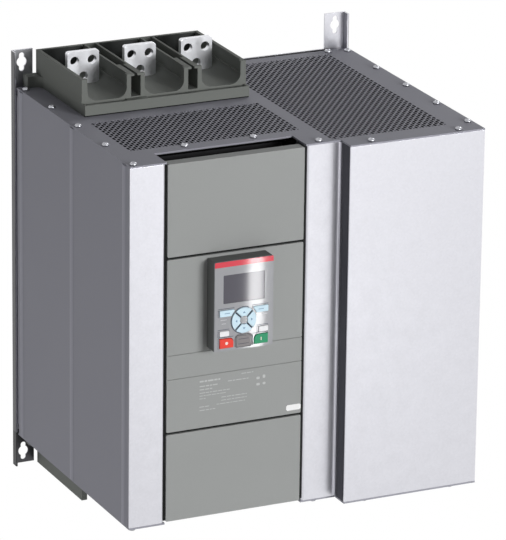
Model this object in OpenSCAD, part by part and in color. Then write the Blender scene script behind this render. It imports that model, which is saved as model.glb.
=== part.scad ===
// Wall-mounted soft starter: folded sheet cabinet with perforated top, terminal bars in
// three-bay shrouds at both ends, clip-on front covers and a pull-off keypad.
// The wall is the plane y = 0, the front faces -Y, +Z is up, and the origin is the
// middle of the mounting plate's rear face. Millimetres.

/* [Cabinet] */
// Width over the pressed beads of the side panels
body_w = 436; // [426:1:470]
// Height of the side panels and front strips
body_h = 432; // [425:1:470]
// Wall to the face of the front strips
main_depth = 348; // [344:1:380]
// How far the right-hand box stands ahead of the strips
box_step = 24; // [16:1:40]
// Left side to the step of the right-hand box
left_w = 263; // [258.5:0.5:280]
// Wall to the rear edges of the side panels
wall_gap = 15; // [13:0.5:20]
// Sheet thickness
sheet = 2; // [1.5:0.1:2.4]
// Outer radius of the bends
bend_r = 3; // [2.6:0.1:4]
// Width of the folded flanges
flange_w = 15; // [13:0.5:18]
// Width of a pressed bead in the side panels
bead_w = 14; // [10:0.5:18]
// Height of a pressed bead
bead_rise = 1.4; // [0.5:0.1:1.8]
// Panel edge to the centre of the outer beads
bead_edge = 14; // [12:0.5:20]
// Wall to the centre of the middle bead
bead_mid = 181; // [150:1:220]

/* [Mounting plate] */
// Height of an ear above or below the body
ear_h = 44; // [40:1:60]
// How far the plate's side lips stand out beyond the beads
plate_over = 0.5; // [0:0.1:2]
// Width of an ear
ear_w = 27.5; // [25:0.5:32]
// Gap between the plate's side lips and the side panels
lip_gap = 2.5; // [1.5:0.1:4]
// Plate side to the keyhole's centre line
key_edge = 13.5; // [12:0.5:15]
// Ear end to the keyhole's centre
key_end = 15; // [13:0.5:18]
// Round middle of a keyhole
key_d = 12.5; // [10:0.5:14]
// Width of a keyhole's two lobes
key_slot = 6.5; // [5:0.5:8]
// Height of a keyhole from lobe to lobe
key_len = 22.5; // [20:0.5:24]

/* [Vents and screws] */
// Distance between vent holes in a row
vent_pitch = 13; // [12:0.5:18]
// Vent hole, corner to corner
vent_d = 9.6; // [6:0.2:10]
// Plain border round the left vent field
vent_border = 25; // [20:1:32]
// Plain border of the right vent field at the front and the right
box_border = 32; // [26:1:40]
// Screws along each side of the top and bottom plates
side_screws = 5; // [3:1:7]
// Screw shank
screw_d = 4; // [3:0.5:5]
// Screw head
head_d = 8.6; // [7:0.2:10]
// Height of a screw head
head_h = 3.2; // [2.4:0.1:4]

/* [Terminals] */
// Middle of the terminals right of the middle of the covers
terminal_shift = 0.8; // [0:0.1:2]
// Distance between neighbouring bays
bay_pitch = 72.4; // [70:0.2:76]
// Clear width of a bay
bay_w = 49.6; // [46:0.2:51]
// Radius of a bay's bottom corners
bay_r = 12; // [6:0.5:16]
// Height of a bay's floor above the plate
bay_floor = 15; // [14.5:0.5:18]
// Width of the slot between two bays
bay_slot = 12; // [8:0.5:14]
// Rims of the shroud at its two ends
shroud_wall = 7; // [6:0.5:9]
// Thickness of the outer walls behind the rims
outer_wall = 4.4; // [3.5:0.1:5.5]
// Thickness of the walls beside a slot, behind its lips
thin_wall = 2.7; // [2:0.1:3]
// Length of the lips at the front of a slot
lip_l = 42; // [30:1:60]
// Gap between the two lips of a slot
lip_space = 3.8; // [3:0.1:5]
// Height of the shroud above the plate
shroud_h = 42; // [38:1:50]
// Wall to the rear face of the shroud
shroud_rear = 8; // [5:0.5:11]
// Wall to the front rim of the shroud
shroud_front = 145.5; // [140:0.5:152]
// Height of the front step of the shroud
plinth_h = 13.6; // [12:0.2:14.2]
// How far the step stands ahead of the rim
plinth_step = 10; // [8:0.5:13]
// Height of the shroud's corner lugs
lug_h = 13.5; // [10:0.5:16]
// Width of a terminal bar
bar_w = 40; // [36:0.5:44]
// Thickness of a terminal bar
bar_t = 7; // [5:0.5:9]
// Wall to the front face of the bars
bar_y = 75.5; // [70:0.5:80]
// Rise of a bar above the plate
bar_rise = 54.3; // [52:0.1:58]
// Corner radius of a bar
bar_r = 3; // [1:0.5:4]
// Bolt hole in a bar
bar_hole = 11; // [9:0.5:12.5]
// Distance between the three bolt holes of a bar
bar_spacing = 22; // [20:0.5:24]
// Bar end to the first pair of holes
bar_end = 11.2; // [9:0.2:12]

/* [Front covers] */
// Width of a front strip
strip_w = 43; // [38:0.5:46]
// Depth of a strip's return beside the covers
strip_return = 30; // [28:0.5:36]
// Gap round the covers
cover_gap = 3; // [2:0.1:4]
// Depth of a cover
cover_d = 14; // [12:0.5:16]
// Wall thickness of a cover
cover_wall = 2.8; // [2:0.1:3.5]
// Middle of the body up to the upper gap
upper_gap_z = 103.4; // [101:0.1:115]
// Middle of the body down to the lower gap
lower_gap_z = 107.4; // [95:0.1:120]
// Middle of the body down to the first groove
groove_1 = 12.9; // [11:0.1:14]
// Middle of the body down to the second groove
groove_2 = 42; // [36:0.5:50]
// Width and depth of the grooves
groove_w = 1.2; // [0.8:0.1:1.6]

/* [Keypad] */
// Width of the keypad
pad_w = 73; // [72:0.5:80]
// Height of the keypad
pad_h = 107; // [106:0.5:110]
// How far the keypad stands out of the cover
pad_d = 21; // [19:0.5:23]
// Middle of the body up to the keypad's centre
pad_z = 45; // [44:0.5:46.5]
// Middle of the keypad right of the middle of the covers
pad_shift = 1.1; // [0:0.1:3]
// Corner radius of the keypad
pad_r = 1.2; // [0.8:0.1:3]
// Thickness of the keypad's face plate
face_t = 2.2; // [1.8:0.1:2.6]
// Width of the display window
screen_w = 51.5; // [44:0.5:56]
// Height of the display window
screen_h = 34; // [28:0.5:36]
// Height of the coloured band along the top
band_h = 6.4; // [4:0.2:7]
// Radius of the ring of arrow keys
ring_r = 15.2; // [13.5:0.1:15.8]
// Gap between neighbouring arrow keys
ring_gap = 2.2; // [2:0.1:2.6]
// How far the keys stand out of the face
key_proud = 1; // [0.9:0.1:1.5]
// Travel of a key
key_travel = 0.8; // [0.5:0.1:1]
// Clearance round a key and the flap
key_clear = 0.55; // [0.35:0.05:0.6]

/* [Inside] */
// Thickness of a thyristor module
module_t = 50; // [40:1:60]
// Height of a thyristor module
module_h = 220; // [200:2:240]
// Depth of the heat sinks
sink_d = 172; // [150:1:176]
// Fins on a heat sink
sink_fins = 9; // [6:1:11]
// Side of a cooling fan
fan_w = 92; // [88:1:96]
// Height of a cooling fan
fan_h = 38; // [32:1:40]
// Blades of a fan
fan_blades = 7; // [5:1:8]

/* [Hidden] */
$fn = 64;
eps = 0.01;
slide_gap = 0.3;
screw_fit = 0.2;

sheet_grey = [0.45, 0.45, 0.48];
zinc = [0.86, 0.86, 0.89];
moulding = [0.48, 0.49, 0.48];
cover_grey = [0.63, 0.64, 0.63];
dark_plastic = [0.27, 0.28, 0.27];
tin = [0.85, 0.86, 0.88];
copper = [0.72, 0.45, 0.30];

side_x = body_w/2 - bead_rise;
step_x = left_w - body_w/2;
rear_y = -wall_gap;
strip_y = -main_depth;
box_y = strip_y - box_step;
top_z = body_h/2;
plate_z = top_z + sheet;
plate_h = body_h + 2*ear_h;
plate_x = body_w/2 + plate_over;

bead_circle = (bead_w*bead_w/4 + bead_rise*bead_rise)/(2*bead_rise);

open_x0 = -side_x + strip_w;
open_x1 = step_x - strip_w;
cover_x0 = open_x0 + cover_gap;
cover_x1 = open_x1 - cover_gap;
cover_x = (cover_x0 + cover_x1)/2;
cover_rear = strip_y + cover_d;
notch_gap = 22;
notch_y = cover_rear + notch_gap;
notch_side = 1.5;
frame_t = 3;
frame_gap = 10;
plate_gap = 4;
rim_set = 2;
rim_fit = 0.4;
frame_y = cover_rear + frame_gap;
frame_drop = 30;
cover_end = 1;
cover_r = 1.5;
peg_d = 6;
peg_edge = 14;
rail_end = 10;
rail_drop = 24;
rail_leg = 22;
rail_rear = 26;

terminal_x = cover_x + terminal_shift;
shroud_w = 2*bay_pitch + bay_w + 2*shroud_wall;
shroud_top = plate_z + shroud_h;
floor_z = plate_z + bay_floor;
plinth_y = -shroud_front - plinth_step;
plinth_lip = 3;
screw_edge = 6.5;
screw_rear = 12.5;
foot_gap = 1.4;
foot_in = 3;
bay_x = [for (i = [-1:1]) terminal_x + i*bay_pitch];
bar_tip = plate_z + bar_rise;
bar_inner = 20;
bar_clear = 0.3;
bar_cut_x = 6;
bar_cut_y = 8;
lug_end = 11;
lug_w = terminal_x - shroud_w/2 + side_x - lug_end;
lug_front = wall_gap + screw_rear - head_d/2 - 1;
lug_r = 10;
lip_t = 2.4;
rim_d = 6;
vent_edge_x = 7;
vent_edge_y = 18;

screw_step = (main_depth - wall_gap - screw_rear - screw_edge)/(side_screws - 1);
notch_screw_x = 43;
notch_screw_y = 12;
strip_screw_x = 25.5;
box_screw_x = 30;
box_screw_y = 8;
screw_spots = concat(
    [for (s = [-1, 1], i = [0:side_screws - 1])
        [s*(side_x - screw_edge), rear_y - screw_rear - i*screw_step]],
    [for (s = [-1, 1]) [cover_x + s*notch_screw_x, notch_y + notch_screw_y]],
    [[step_x - strip_screw_x, strip_y + screw_edge]],
    [[step_x + box_screw_x, box_y + box_screw_y], [side_x - box_screw_x, box_y + box_screw_y]],
    [[side_x - box_screw_x, rear_y - screw_edge]]);

pad_x = cover_x + pad_shift;
pad_face = strip_y - pad_d;
face_rear = pad_face + face_t;
case_rear = strip_y - slide_gap;
case_wall = 2.5;
flange_t = 1;
flange_wide = 0.9;
board_y = face_rear + slide_gap + flange_t + key_travel + slide_gap;
board_t = 1.6;
plug_side = 7.5;
plug_end = 11.5;
plug_w = pad_w - 2*plug_side;
plug_h = pad_h - 2*plug_end;
plug_d = 14;
plug_clear = 0.4;
screen_z = 20.3;
ring_z = -19;
ring_core = 5;
soft_w = 18;
soft_h = 7.4;
soft_x = 21.2;
soft_z = -8.1;
small_w = 11.6;
small_h = 6;
small_x = 24.4;
small_z = -32.3;
run_w = 16.8;
run_h = 11;
run_x = 21.6;
run_z = -44;
flap_w = 17;
flap_h = 13;
flap_z = -44.3;
flap_t = 2;
flap_axis_z = flap_z + flap_h/2 - flap_t/2;
flap_axis_y = pad_face + flap_t/2;
flap_pin = 1.2;
flap_pin_l = 1;
flap_fit = 0.1;
band_t = 0.6;
window_set = 0.4;
window_fit = 0.15;

sink_w = 64;
sink_base = 18;
sink_over = 40;
fin_t = 2.4;
module_w = 58;
module_y = -bar_y;
sink_y = module_y - module_t;
fan_y = sink_y - sink_d/2;
fan_x = [cover_x - fan_w/2 - 1, cover_x + fan_w/2 + 1, (step_x + side_x)/2];
fan_z = -top_z;
hub_d = 0.4*fan_w;
shaft_d = 6;
shaft_fit = 0.05;
shaft_end = 8;
fan_wall = 2;
fan_hole = 4.4;
strut_t = 4;
strut_w = 5;
blade_t = 1.8;
contactor_x = (step_x + side_x)/2;
contactor_clear = 2.75;
contactor_end = 8;
contactor_w = side_x - step_x - 2*(flange_w + contactor_clear);
pole_pitch = (contactor_w - 2*contactor_end)/3;
contactor_base = 40;
contactor_h = 128;
chamber_d = 110;
chamber_h = 52;
barrier_d = 40;
barrier_w = 6;
barrier_h = 120;
link_t = 6;
link_w = 18;
link_rise = 24;
link_z = 50;
link_foot = 32;

board_side = 22;
board_foot = 14;
board_low = upper_gap_z + board_foot;
board_top = top_z - frame_drop - plate_gap;
board_h = board_top - board_low;
terminal_edge = 14.75;
terminal_ways = 12;
terminal_way = (cover_x1 - cover_x0 - 2*(board_side + terminal_edge))/terminal_ways;
terminal_h = 0.19*board_h;
terminal_d = 11;
terminal_low = board_low + 0.16*board_h;
terminal_high = board_low + 0.54*board_h;

// Box between two corners.
module block(low, high) {
    translate(low) cube(high - low);
}

// Rectangle from the origin with round corners.
module round_rect(w, h, r) {
    translate([r, 0]) square([w - 2*r, h]);
    translate([0, r]) square([w, h - 2*r]);
    for (x = [r, w - r], y = [r, h - r]) translate([x, y]) circle(r);
}

// The same rectangle about the origin.
module centred_rect(w, h, r) {
    translate([-w/2, -h/2]) round_rect(w, h, r);
}

// Section of a folded channel: web along Y, two flanges along +X.
module channel(flange, depth) {
    intersection() {
        square([flange, depth]);
        difference() {
            round_rect(2*flange, depth, bend_r);
            translate([sheet, sheet]) round_rect(2*flange - 2*sheet, depth - 2*sheet, bend_r - sheet);
        }
    }
}

// Section of a folded angle: legs along +X and +Y, rounded outer corner at the origin.
module angle(leg_x, leg_y) {
    intersection() {
        square([leg_x, leg_y]);
        difference() {
            round_rect(2*leg_x, 2*leg_y, bend_r);
            translate([sheet, sheet]) round_rect(2*leg_x, 2*leg_y, bend_r - sheet);
        }
    }
}

// Extrudes a plan along the body's height.
module upright(height) {
    translate([0, 0, -height/2]) linear_extrude(height) children();
}

// Extrudes an elevation drawn in X and Z from y_rear forward.
module forward(y_rear, depth) {
    translate([0, y_rear, 0]) rotate([90, 0, 0]) linear_extrude(depth) children();
}

// Drills the screw holes through a plate and the flange behind it, at top and bottom.
module screw_holes() {
    for (s = [-1, 1], p = screw_spots)
        translate([p.x, p.y, s*top_z]) cylinder(d = screw_d + 2*screw_fit, h = 6*sheet, center = true);
}

// Keyhole: a round middle with a lobe above and below.
module keyhole() {
    lobe = key_len/2 - key_slot/2;
    rotate([90, 0, 0]) {
        cylinder(d = key_d, h = 4*sheet, center = true);
        for (s = [-1, 1]) translate([0, s*lobe, 0]) cylinder(d = key_slot, h = 4*sheet, center = true);
        cube([key_slot, 2*lobe, 4*sheet], center = true);
    }
}

// Mounting plate: full sheet behind the body, four ears and folded side lips.
module back_plate() color(zinc) difference() {
    union() {
        block([-plate_x + ear_w - 1, -sheet, -top_z], [plate_x - ear_w + 1, 0, top_z]);
        for (s = [0, 1]) mirror([s, 0, 0])
            upright(plate_h) translate([-plate_x, 0]) mirror([0, 1]) angle(ear_w, wall_gap - lip_gap);
    }
    for (sx = [-1, 1], sz = [-1, 1])
        translate([sx*(plate_x - key_edge), 0, sz*(plate_h/2 - key_end)]) keyhole();
}

// Channels that hold the cabinet off the mounting plate.
module mounting_rails() color(sheet_grey) {
    for (s = [0, 1]) mirror([s, 0, 0])
        upright(body_h - 2*rail_end) translate([-side_x + 1, rear_y]) channel(flange_w - 1, wall_gap - sheet);
}

// Plan of a side panel on the left: channel with pressed beads.
module side_section(front_y) {
    beads = [rear_y - bead_edge, -bead_mid, front_y + bead_edge];
    centre = -side_x - bead_rise + bead_circle;
    difference() {
        union() {
            translate([-side_x, front_y]) channel(flange_w, rear_y - front_y);
            for (y = beads) intersection() {
                translate([centre, y]) circle(bead_circle);
                translate([-side_x - bead_w, y - bead_w]) square([bead_w + sheet/2, 2*bead_w]);
            }
        }
        for (y = beads) intersection() {
            translate([centre, y]) circle(bead_circle - sheet);
            translate([-side_x - bead_w, y - bead_w]) square([bead_w + sheet + eps, 2*bead_w]);
        }
    }
}

// Side panel with front, rear, top and bottom flanges, drawn on the left.
module side_panel(front_y) {
    upright(body_h) side_section(front_y);
    for (s = [0, 1]) mirror([0, 0, s])
        block([-side_x + sheet/2, front_y + sheet, top_z - sheet],
              [-side_x + flange_w, rear_y - sheet, top_z]);
}

module left_side_panel() color(sheet_grey) difference() {
    side_panel(strip_y + sheet);
    screw_holes();
}

module right_side_panel() color(sheet_grey) difference() {
    mirror([1, 0, 0]) side_panel(box_y + sheet);
    screw_holes();
}

// Front strip left of the covers, folded back beside them.
module left_front_strip() color(zinc) {
    upright(body_h) translate([open_x0, strip_y]) mirror([1, 0]) angle(strip_w, strip_return);
}

// Front strip right of the covers, with a short lip forward against the step.
module right_front_strip() color(zinc) difference() {
    union() {
        upright(body_h) {
            translate([open_x1, strip_y]) angle(strip_w - bend_r, strip_return);
            translate([step_x, strip_y + sheet]) rotate(180) angle(2*bend_r, 3*sheet);
        }
        for (s = [0, 1]) mirror([0, 0, s])
            block([open_x1 + sheet/2, strip_y + sheet/2, top_z - sheet],
                  [step_x - flange_w - 1, strip_y + flange_w, top_z]);
    }
    screw_holes();
}

// Wall of the step between the strips and the right-hand box.
module step_panel() color(sheet_grey) {
    upright(body_h) {
        translate([step_x + sheet, strip_y + 2*sheet]) rotate(180) angle(flange_w, 3*sheet);
        translate([step_x, box_y + sheet]) angle(flange_w, box_step + sheet);
    }
}

// Front of the right-hand box, with flanges under the top and over the bottom plate.
module right_front_panel() color(zinc) difference() {
    union() {
        block([step_x, box_y, -top_z], [side_x, box_y + sheet, top_z]);
        for (s = [0, 1]) mirror([0, 0, s])
            block([step_x + flange_w + 1, box_y + sheet/2, top_z - sheet],
                  [side_x - flange_w - 1, box_y + flange_w, top_z]);
    }
    screw_holes();
}

// Outline of the top and bottom plates, with the notch above the covers.
module plate_outline() {
    difference() {
        polygon([[-side_x, rear_y], [side_x, rear_y], [side_x, box_y], [step_x, box_y],
                 [step_x, strip_y], [-side_x, strip_y]]);
        translate([cover_x0 - notch_side, strip_y - 1])
            square([cover_x1 - cover_x0 + 2*notch_side, notch_y - strip_y + 1]);
        translate([terminal_x - bay_pitch - bar_w/2 - bar_cut_x, -bar_y - bar_cut_y])
            square([2*bay_pitch + bar_w + 2*bar_cut_x, bar_t + 2*bar_cut_y]);
    }
}

// Staggered rows of diamond holes inside a rectangle.
module vent_field(low, high) {
    row = 0.87*vent_pitch;
    columns = floor((high.x - low.x - vent_pitch/2)/vent_pitch);
    rows = floor((high.y - low.y)/row);
    start_x = (low.x + high.x)/2 - (columns - 0.5)*vent_pitch/2;
    start_y = (low.y + high.y)/2 - (rows - 1)*row/2;
    for (j = [0:rows - 1], i = [0:columns - 1])
        translate([start_x + (i + (j % 2)/2)*vent_pitch, start_y + j*row, 0])
            cylinder(d = vent_d, h = 4*sheet, center = true, $fn = 4);
}

// Top plate with two perforated fields for the warm air.
module top_plate() color(sheet_grey) difference() {
    translate([0, 0, top_z]) linear_extrude(sheet) plate_outline();
    translate([0, 0, plate_z]) {
        vent_field([-side_x + vent_border, notch_y + vent_border],
                   [step_x - vent_border - sheet, plinth_y - vent_border]);
        vent_field([step_x - vent_edge_x, box_y + box_border], [side_x - box_border, rear_y - vent_edge_y]);
    }
    screw_holes();
}

// Bottom plate with a round perforated inlet under each fan.
module bottom_plate() color(sheet_grey) difference() {
    translate([0, 0, -plate_z]) linear_extrude(sheet) plate_outline();
    rings = floor((fan_w/2 - 6)/vent_pitch);
    for (x = fan_x, k = [1:rings], i = [0:6*k - 1])
        translate([x, fan_y, -plate_z]) rotate(60*i/k) translate([k*vent_pitch, 0, 0])
            cylinder(d = vent_d, h = 4*sheet, center = true, $fn = 4);
    screw_holes();
}

// Angle that stiffens the top plate behind the notch.
module top_rail() color(sheet_grey) difference() {
    translate([cover_x0, notch_y + rail_rear, top_z]) rotate([0, 90, 0])
        linear_extrude(cover_x1 - cover_x0) mirror([0, 1]) angle(rail_drop, rail_leg);
    screw_holes();
}

// Pan head screw, seated on the plate.
module pan_screw() {
    translate([0, 0, -3*sheet]) cylinder(d = screw_d, h = 3*sheet + eps);
    dome = 0.55*head_d;
    rotate_extrude() intersection() {
        square([head_d/2, head_h]);
        translate([0, -dome]) circle(dome + head_h);
    }
}

// All screws of the top and bottom plates.
module case_screws() color(tin) {
    for (s = [0, 1]) mirror([0, 0, s])
        for (p = screw_spots) translate([p.x, p.y, plate_z]) pan_screw();
}

// Elevation of a bay: open at the top, rounded at the bottom.
module bay_profile() {
    translate([-bay_w/2, floor_z]) round_rect(bay_w, 3*shroud_h, bay_r);
}

// Lug at a rear corner of the shroud, faired into its side by a hollow curve.
module shroud_lug() {
    translate([0, 0, plate_z]) linear_extrude(lug_h) {
        translate([-1, -lug_front]) square([lug_w + 1, lug_front - shroud_rear]);
        translate([-1, -lug_front - lug_r]) difference() {
            square([lug_r + 1, lug_r + eps]);
            translate([lug_r + 1, 0]) circle(lug_r);
        }
    }
}

// Slot between two bays, with two lips over its front part.
module divider_slot(inner_rear) {
    lip_y = -shroud_front + lip_l;
    block([-bay_slot/2, -shroud_front - 1, floor_z], [bay_slot/2, inner_rear, shroud_top - lip_t]);
    block([-lip_space/2, -shroud_front - 1, floor_z], [lip_space/2, lip_y + eps, shroud_top + 1]);
    block([-bay_slot/2, lip_y, floor_z], [bay_slot/2, inner_rear, shroud_top + 1]);
}

// Three-bay shroud over a row of terminal bars, drawn at the top.
module terminal_shroud() {
    inner_rear = -shroud_rear - shroud_wall/2;
    slot_z = plate_z + plinth_h - 8;
    lug_gap = bay_slot + 14;
    mid_half = (bay_pitch - bay_slot)/2 - thin_wall;
    end_half = bay_w/2 + shroud_wall - outer_wall;
    difference() {
        union() {
            block([terminal_x - shroud_w/2, -shroud_front, plate_z],
                  [terminal_x + shroud_w/2, -shroud_rear, shroud_top]);
            block([terminal_x - shroud_w/2, plinth_y, plate_z],
                  [terminal_x + shroud_w/2, -shroud_front + 1, plate_z + plinth_h]);
            translate([terminal_x, 0, 0]) for (s = [0, 1]) mirror([s, 0, 0])
                translate([shroud_w/2, 0, 0]) shroud_lug();
        }
        for (x = bay_x) {
            translate([x, 0, 0]) forward(inner_rear, shroud_front) bay_profile();
            block([x - bar_w/2 - bar_clear, -bar_y - bar_clear, plate_z - 1],
                  [x + bar_w/2 + bar_clear, -bar_y + bar_t + bar_clear, shroud_top]);
        }
        for (s = [-1, 1]) translate([terminal_x + s*bay_pitch/2, 0, 0]) divider_slot(inner_rear);
        for (i = [0:2]) {
            left = bay_x[i] - (i == 0 ? end_half : mid_half);
            right = bay_x[i] + (i == 2 ? end_half : mid_half);
            block([left, -shroud_front + rim_d, floor_z + bay_r], [right, inner_rear, shroud_top + 1]);
        }
        block([terminal_x - shroud_w/2 - 1, plinth_y - 1, plate_z - 1],
              [terminal_x + shroud_w/2 + 1, plinth_y + foot_in, plate_z + foot_gap]);
        block([terminal_x - shroud_w/2 + plinth_lip, plinth_y + plinth_lip, slot_z],
              [bay_x[0] + bay_pitch/2 - lug_gap/2, -shroud_front, plate_z + bay_floor]);
        block([bay_x[0] + bay_pitch/2 + lug_gap/2, plinth_y + plinth_lip, slot_z],
              [terminal_x + shroud_w/2 - plinth_lip, -shroud_front, plate_z + bay_floor]);
    }
}

module line_terminal_shroud() color(moulding) terminal_shroud();

module motor_terminal_shroud() color(moulding) mirror([0, 0, 1]) terminal_shroud();

// Terminal bar with three bolt holes, drawn at the top.
module terminal_bar(i) {
    pair_z = bar_tip - bar_end;
    low_z = pair_z - bar_spacing*sqrt(3)/2;
    translate([bay_x[i], 0, 0]) forward(-bar_y + bar_t, bar_t) difference() {
        translate([-bar_w/2, bar_inner]) round_rect(bar_w, bar_tip - bar_inner, bar_r);
        for (p = [[-bar_spacing/2, pair_z], [bar_spacing/2, pair_z], [0, low_z]])
            translate(p) circle(d = bar_hole);
    }
}

module line_bar(i) color(tin) terminal_bar(i);

module motor_bar(i) color(tin) mirror([0, 0, 1]) terminal_bar(i);

// Moulded plate between the strips that carries the covers, with walls in the gaps round them.
module front_frame() color(dark_plastic) {
    rim = cover_gap - 2*rim_fit;
    block([open_x0, frame_y, -top_z + sheet], [open_x1, frame_y + frame_t, top_z - frame_drop]);
    for (z = [upper_gap_z, -lower_gap_z])
        block([open_x0 + rim_fit, strip_y + rim_set, z - rim/2],
              [open_x1 - rim_fit, frame_y + eps, z + rim/2]);
    for (x = [open_x0 + rim_fit, open_x1 - rim_fit - rim])
        block([x, strip_y + rim_set, -top_z + sheet], [x + rim, frame_y + eps, top_z - sheet]);
}

// Clip-on cover between two heights: hollow moulding with pegs onto the frame.
module cover_shell(z0, z1) {
    w = cover_x1 - cover_x0;
    h = z1 - z0;
    difference() {
        translate([cover_x0, 0, z0]) forward(cover_rear, cover_d) round_rect(w, h, cover_r);
        translate([cover_x0 + cover_wall, 0, z0 + cover_wall])
            forward(cover_rear + 1, cover_d - cover_wall + 1)
                square([w - 2*cover_wall, h - 2*cover_wall]);
    }
    peg_top = min(z1, top_z - frame_drop) - peg_edge;
    for (x = [cover_x0 + peg_edge, cover_x1 - peg_edge], z = [z0 + peg_edge, peg_top])
        translate([x, 0, z]) forward(frame_y, frame_y - strip_y - cover_wall + eps) circle(d = peg_d);
}

module upper_cover() color(cover_grey) cover_shell(upper_gap_z + cover_gap/2, top_z - cover_end);

module lower_cover() color(cover_grey) cover_shell(-top_z + cover_end, -lower_gap_z - cover_gap/2);

// Fixed cover in the middle, with two fine grooves and the keypad's pocket.
module middle_panel() color(cover_grey) difference() {
    cover_shell(-lower_gap_z + cover_gap/2, upper_gap_z - cover_gap/2);
    for (z = [groove_1, groove_2])
        block([cover_x0 - 1, strip_y - 1, -z - groove_w/2],
              [cover_x1 + 1, strip_y + groove_w, -z + groove_w/2]);
    translate([pad_x, 0, pad_z]) forward(cover_rear + 1, cover_d + 2)
        centred_rect(plug_w + 2*plug_clear, plug_h + 2*plug_clear, 2);
}

// Moves an elevation to the keypad's centre.
module at_pad() {
    translate([pad_x, 0, pad_z]) children();
}

// Dark rear shell of the keypad, with the plug that enters the pocket.
module keypad_case() color(dark_plastic) at_pad() {
    difference() {
        union() {
            forward(case_rear, case_rear - face_rear) centred_rect(pad_w, pad_h, pad_r);
            forward(case_rear + plug_d, plug_d + eps) centred_rect(plug_w, plug_h, 2);
        }
        forward(case_rear - case_wall, pad_d) centred_rect(pad_w - 2*case_wall, pad_h - 2*case_wall, pad_r/2);
        forward(case_rear + plug_d - case_wall, plug_d + case_wall)
            centred_rect(plug_w - 2*case_wall, plug_h - 2*case_wall, 1);
    }
    for (x = [-1, 1], z = [-1, 1])
        translate([x*(plug_w/2 + 1.5), 0, z*(plug_h/2 + 4)])
            forward(case_rear - case_wall + eps, case_rear - case_wall - board_y - board_t + eps)
                circle(d = 2*case_wall);
}

// Elevations of the keys, each grown by a margin.
module soft_key_shape(margin) {
    difference() {
        translate([soft_x, soft_z]) centred_rect(soft_w + 2*margin, soft_h + 2*margin, 1);
        translate([0, ring_z]) circle(ring_r + ring_gap - margin);
    }
}

module ring_key_shape(margin) {
    corner = ring_gap/sqrt(2) - margin*sqrt(2);
    translate([0, ring_z]) intersection() {
        difference() {
            circle(ring_r + margin);
            circle(ring_core - margin);
        }
        translate([0, corner]) rotate(45) square(2*ring_r);
    }
}

module small_key_shape(margin) {
    translate([small_x, small_z]) centred_rect(small_w + 2*margin, small_h + 2*margin, 0.8);
}

module run_key_shape(margin) {
    round_in = 5;
    translate([run_x - run_w/2, run_z - run_h/2]) {
        translate([-margin + round_in, -margin]) square([run_w + 2*margin - round_in, run_h + 2*margin]);
        translate([-margin, -margin]) square([round_in + 1, run_h + 2*margin - round_in]);
        translate([-margin + round_in, run_h + margin - round_in]) circle(round_in);
    }
}

module flap_shape(margin) {
    translate([0, flap_z]) centred_rect(flap_w + 2*margin, flap_h + 2*margin, 0.5);
}

// Turns an arrow key's elevation about the ring's centre.
module ring_turn(angle) {
    translate([0, ring_z]) rotate(angle) translate([0, -ring_z]) children();
}

// Every opening in the face plate.
module key_openings(margin) {
    for (s = [0, 1]) mirror([s, 0]) {
        soft_key_shape(margin);
        small_key_shape(margin);
        run_key_shape(margin);
    }
    for (a = [0:90:270]) ring_turn(a) ring_key_shape(margin);
    flap_shape(margin);
}

// Face plate of the keypad.
module keypad_face() color([0.63, 0.64, 0.65]) at_pad() difference() {
    forward(face_rear, face_t) centred_rect(pad_w, pad_h, pad_r);
    forward(face_rear + 1, face_t + 2) key_openings(key_clear);
    translate([0, 0, screen_z]) forward(face_rear + 1, face_t + 2) centred_rect(screen_w, screen_h, 1);
    translate([0, 0, pad_h/2 - band_h]) forward(pad_face + band_t, 1)
        translate([-pad_w/2 - 1, 0]) square([pad_w + 2, band_h + 1]);
    translate([-flap_w/2 - key_clear - flap_pin_l - 2*flap_fit, flap_axis_y, flap_axis_z]) rotate([0, 90, 0])
        cylinder(d = flap_pin + 2*flap_fit, h = flap_w + 2*key_clear + 2*flap_pin_l + 4*flap_fit);
}

// Clear window over the display.
module display_window() color([0.35, 0.35, 0.40]) at_pad() translate([0, 0, screen_z])
    forward(face_rear - window_set, face_t - 2*window_set)
        centred_rect(screen_w - 2*window_fit, screen_h - 2*window_fit, 1 - window_fit);

// Coloured band let into the top of the face plate.
module colour_band() color([0.85, 0.25, 0.30]) at_pad() forward(pad_face + band_t, band_t) intersection() {
    centred_rect(pad_w, pad_h, pad_r);
    translate([-pad_w/2, pad_h/2 - band_h]) square([pad_w, band_h]);
}

// Circuit board with the display cell and the service socket.
module keypad_board() color([0.15, 0.35, 0.25]) at_pad() {
    forward(board_y + board_t, board_t)
        centred_rect(pad_w - 2*case_wall - 1, pad_h - 2*case_wall - 1, 2);
    translate([0, 0, screen_z]) forward(board_y + eps, board_y - face_rear + window_set + eps)
        centred_rect(screen_w - 2, screen_h - 2, 0.5);
    translate([0, 0, flap_z - 1]) forward(board_y + eps, board_y - face_rear - slide_gap) difference() {
        centred_rect(9, 4, 1);
        centred_rect(7.6, 2.6, 0.6);
    }
}

// Key with a flange behind the face plate.
module key_solid() {
    forward(face_rear + slide_gap, face_t + slide_gap + key_proud) children(0);
    forward(face_rear + slide_gap + flange_t, flange_t + eps) children(1);
}

module soft_key(side) color([0.72, 0.86, 0.94]) at_pad() mirror([side, 0, 0]) key_solid() {
    soft_key_shape(0);
    soft_key_shape(flange_wide);
}

module ring_key(angle) color([0.72, 0.86, 0.94]) at_pad() key_solid() {
    ring_turn(angle) ring_key_shape(0);
    ring_turn(angle) ring_key_shape(flange_wide);
}

module small_key(side) color([0.95, 0.95, 0.95]) at_pad() mirror([side, 0, 0]) key_solid() {
    small_key_shape(0);
    small_key_shape(flange_wide);
}

module run_key(side) mirror([side, 0, 0]) key_solid() {
    run_key_shape(0);
    run_key_shape(flange_wide);
}

module stop_key() color([0.88, 0.24, 0.20]) at_pad() run_key(1);

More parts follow.
